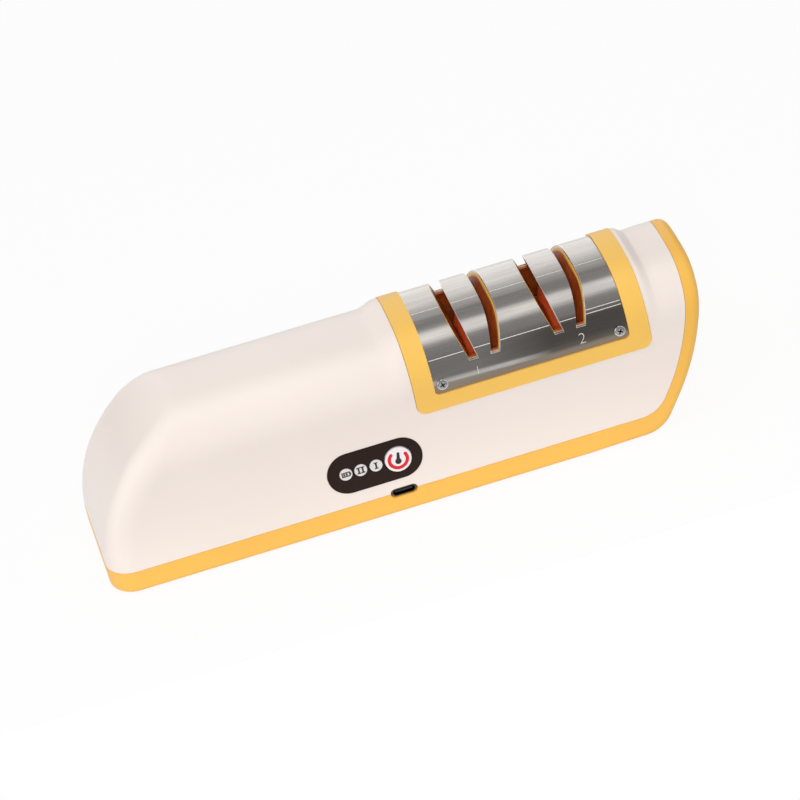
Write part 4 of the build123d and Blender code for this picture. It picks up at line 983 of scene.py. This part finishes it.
# %% [markdown]
# ## The grinding wheels
#
# A wheel that works in a leaning slot is dressed to the blade's angle: its flanks are cones
# towards the rim. The wheel is a flat disc whose two faces are extruded outwards and
# narrowed, which makes the cones. Each face is then inset and pushed back in, to leave a seat
# for the hub, inset again to the bore, and bridging the two inner faces opens it. Its belly
# is wider than the CAD's flat wheel but stays clear of the housing, and the seat keeps the
# CAD's width, so that the hubs still clamp it.

# %% Coned grinding wheels
RIM_WIDTH = 1.8 * MM
BELLY_WIDTH = 6.7 * MM  # the housing leaves room for 6.8 mm
CONE = 6.5 * MM  # how far the cone reaches in from the rim
SEAT_R = 9.6 * MM  # just past the hub's flange
BORE_R = 6.1 * MM
FLAT = 0.99  # the normal of a flat face; a cone's is less


def grinding_wheel(node, finish):
    """A coned wheel in the place of the CAD's flat one."""
    low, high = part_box(node)
    radius, width = (high[2] - low[2]) / 2, high[0] - low[0]
    new_start()
    bpy.ops.mesh.primitive_cylinder_add(
        vertices=128, radius=radius, depth=RIM_WIDTH, location=(0, 0, 0)
    )
    wheel = bpy.context.object
    edit(wheel)
    for side in (-1, 1):
        choose(wheel, "faces", lambda face: face.normal.z * side > FLAT)
        extrude((0, 0, side * (BELLY_WIDTH - RIM_WIDTH) / 2))
        share = 1 - CONE / radius
        bpy.ops.transform.resize(value=(share, share, 1), center_override=(0, 0, 0))
        bpy.ops.mesh.inset(thickness=radius - CONE - SEAT_R)
        extrude((0, 0, side * (width - BELLY_WIDTH) / 2))
    choose(wheel, "faces", lambda face: abs(face.normal.z) > FLAT
           and abs(abs(face.calc_center_median().z) - width / 2) < 0.01 * MM)
    bpy.ops.mesh.inset(thickness=SEAT_R - BORE_R)
    bpy.ops.mesh.bridge_edge_loops()
    new_start()
    middle = (Vector(low) + Vector(high)) / 2
    stand = Matrix.Translation(middle) @ Matrix.Rotation(pi / 2, 4, "Y")
    complete(wheel, node + "_coned", finish, "wheel_drive", stand, angle=12)
    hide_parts(node)


grinding_wheel("coarse_wheel", coarse_grit)
grinding_wheel("fine_wheel", fine_grit)

# %% [markdown]
# ## Table and light
#
# The table is a pale floor that the camera sees as white. The world is a dim room with six
# soft patches of light, which shape the body and are mirrored in the steel; the camera sees
# the room itself as white. Two soft lamps add to it: the key stands high in front, a little
# to the left, and a weaker one hangs over the sharpener.

# %% The floor
FLOOR_SIZE = 1.3
FLOOR_FRONT = -0.088  # its front edge; the foot of the steel mirrors the dim room beyond it
FLOOR_Z = -0.05 * MM  # just under the feet
FLOOR_GLOW = 0.93  # the share of its brightness that isn't shaded


def lit_floor():
    """Pale, and nearly even white where the camera or a mirror sees it."""
    finish, shader = new_material("table", srgb(240, 240, 240), 0.9, specular=0.1)
    grain = noise(finish, place(finish), 0.003)
    bumps(finish, shader, grain, 1e-5)
    glow = add_node(finish, "ShaderNodeEmission", Strength=1.0)
    mix = add_node(finish, "ShaderNodeMixShader")
    path = add_node(finish, "ShaderNodeLightPath")
    camera_ray, glossy_ray = path.outputs["Is Camera Ray"], path.outputs["Is Glossy Ray"]
    seen = calculate(finish, "MAXIMUM", camera_ray, glossy_ray)
    join(finish, calculate(finish, "MULTIPLY", seen, FLOOR_GLOW), mix.inputs[0])
    join(finish, shader.outputs[0], mix.inputs[1])
    join(finish, glow.outputs[0], mix.inputs[2])
    join(finish, mix.outputs[0], finish.node_tree.nodes["Material Output"].inputs["Surface"])
    return finish


bpy.ops.mesh.primitive_plane_add(
    size=FLOOR_SIZE, location=(0, FLOOR_FRONT + FLOOR_SIZE / 2, FLOOR_Z)
)
floor = bpy.context.object
floor.name = "floor"
floor.data.materials.append(lit_floor())

# %% The room
world = bpy.data.worlds.new("studio")
bpy.context.scene.world = world
world.use_nodes = True
sky = world.node_tree.nodes["Background"]
sky.inputs["Color"].default_value = (1.0, 1.0, 1.0, 1.0)
room = add_node(world, "ShaderNodeTexCoord")


def soft_patch(direction, start, full, strength):
    """A glow round one direction of the room; start and full are cosines of its two edges."""
    facing = add_node(world, "ShaderNodeVectorMath", operation="DOT_PRODUCT")
    join(world, room.outputs["Generated"], facing.inputs[0])
    facing.inputs[1].default_value = Vector(direction).normalized()
    fade = add_node(world, "ShaderNodeMapRange", interpolation_type="SMOOTHSTEP")
    fade.inputs["From Min"].default_value = start
    fade.inputs["From Max"].default_value = full
    fade.inputs["To Max"].default_value = strength
    join(world, facing.outputs["Value"], fade.inputs["Value"])
    return fade.outputs["Result"]


ROOM_LEVEL = 0.26
PATCHES = [  # direction, start, full, strength
    ((0.0, 0.978, 0.208), 0.857, 0.94, 1.06),
    ((0.0, -0.094, 0.995), 0.94, 0.978, 1.0),
    ((0.0, 0.0, 1.0), 0.5, 0.95, 0.04),
    ((0.0, -0.80, -0.60), 0.925, 0.96, 0.24),
    ((-1.0, -0.1, 0.3), 0.80, 0.97, 1.2),
    ((1.0, -0.2, 0.4), 0.6, 0.95, 0.4),
]
glow = ROOM_LEVEL
for patch in PATCHES:
    glow = calculate(world, "ADD", soft_patch(*patch), glow)
path = add_node(world, "ShaderNodeLightPath")
shown = add_node(world, "ShaderNodeMix", data_type="FLOAT")
for number, value in ((0, path.outputs["Is Camera Ray"]), (2, glow), (3, 1.0)):
    feed(world, value, shown.inputs[number])
join(world, shown.outputs[0], sky.inputs["Strength"])
print("room", len(PATCHES), "patches over", ROOM_LEVEL)

# %% The lamps
def soft_lamp(name, spot, target, size, power):
    """A rectangular lamp that the steel doesn't mirror, aimed at a target."""
    bpy.ops.object.light_add(type="AREA", location=spot)
    lamp = bpy.context.object
    lamp.name = name
    lamp.data.shape = "RECTANGLE"
    lamp.data.size, lamp.data.size_y = size
    lamp.data.energy = power
    turn = (Vector(target) - Vector(spot)).to_track_quat("-Z", "Y")
    lamp.rotation_euler = turn.to_euler()
    lamp.visible_glossy = False


soft_lamp("key", (-0.15, -1.07, 0.71), (0, 0, 0.03), (0.3, 0.4), 7.15)
soft_lamp("over", (-0.27, -0.28, 1.12), (0.03, 0, 0.05), (0.16, 0.5), 1.9)
bpy.context.scene.view_settings.view_transform = "Standard"
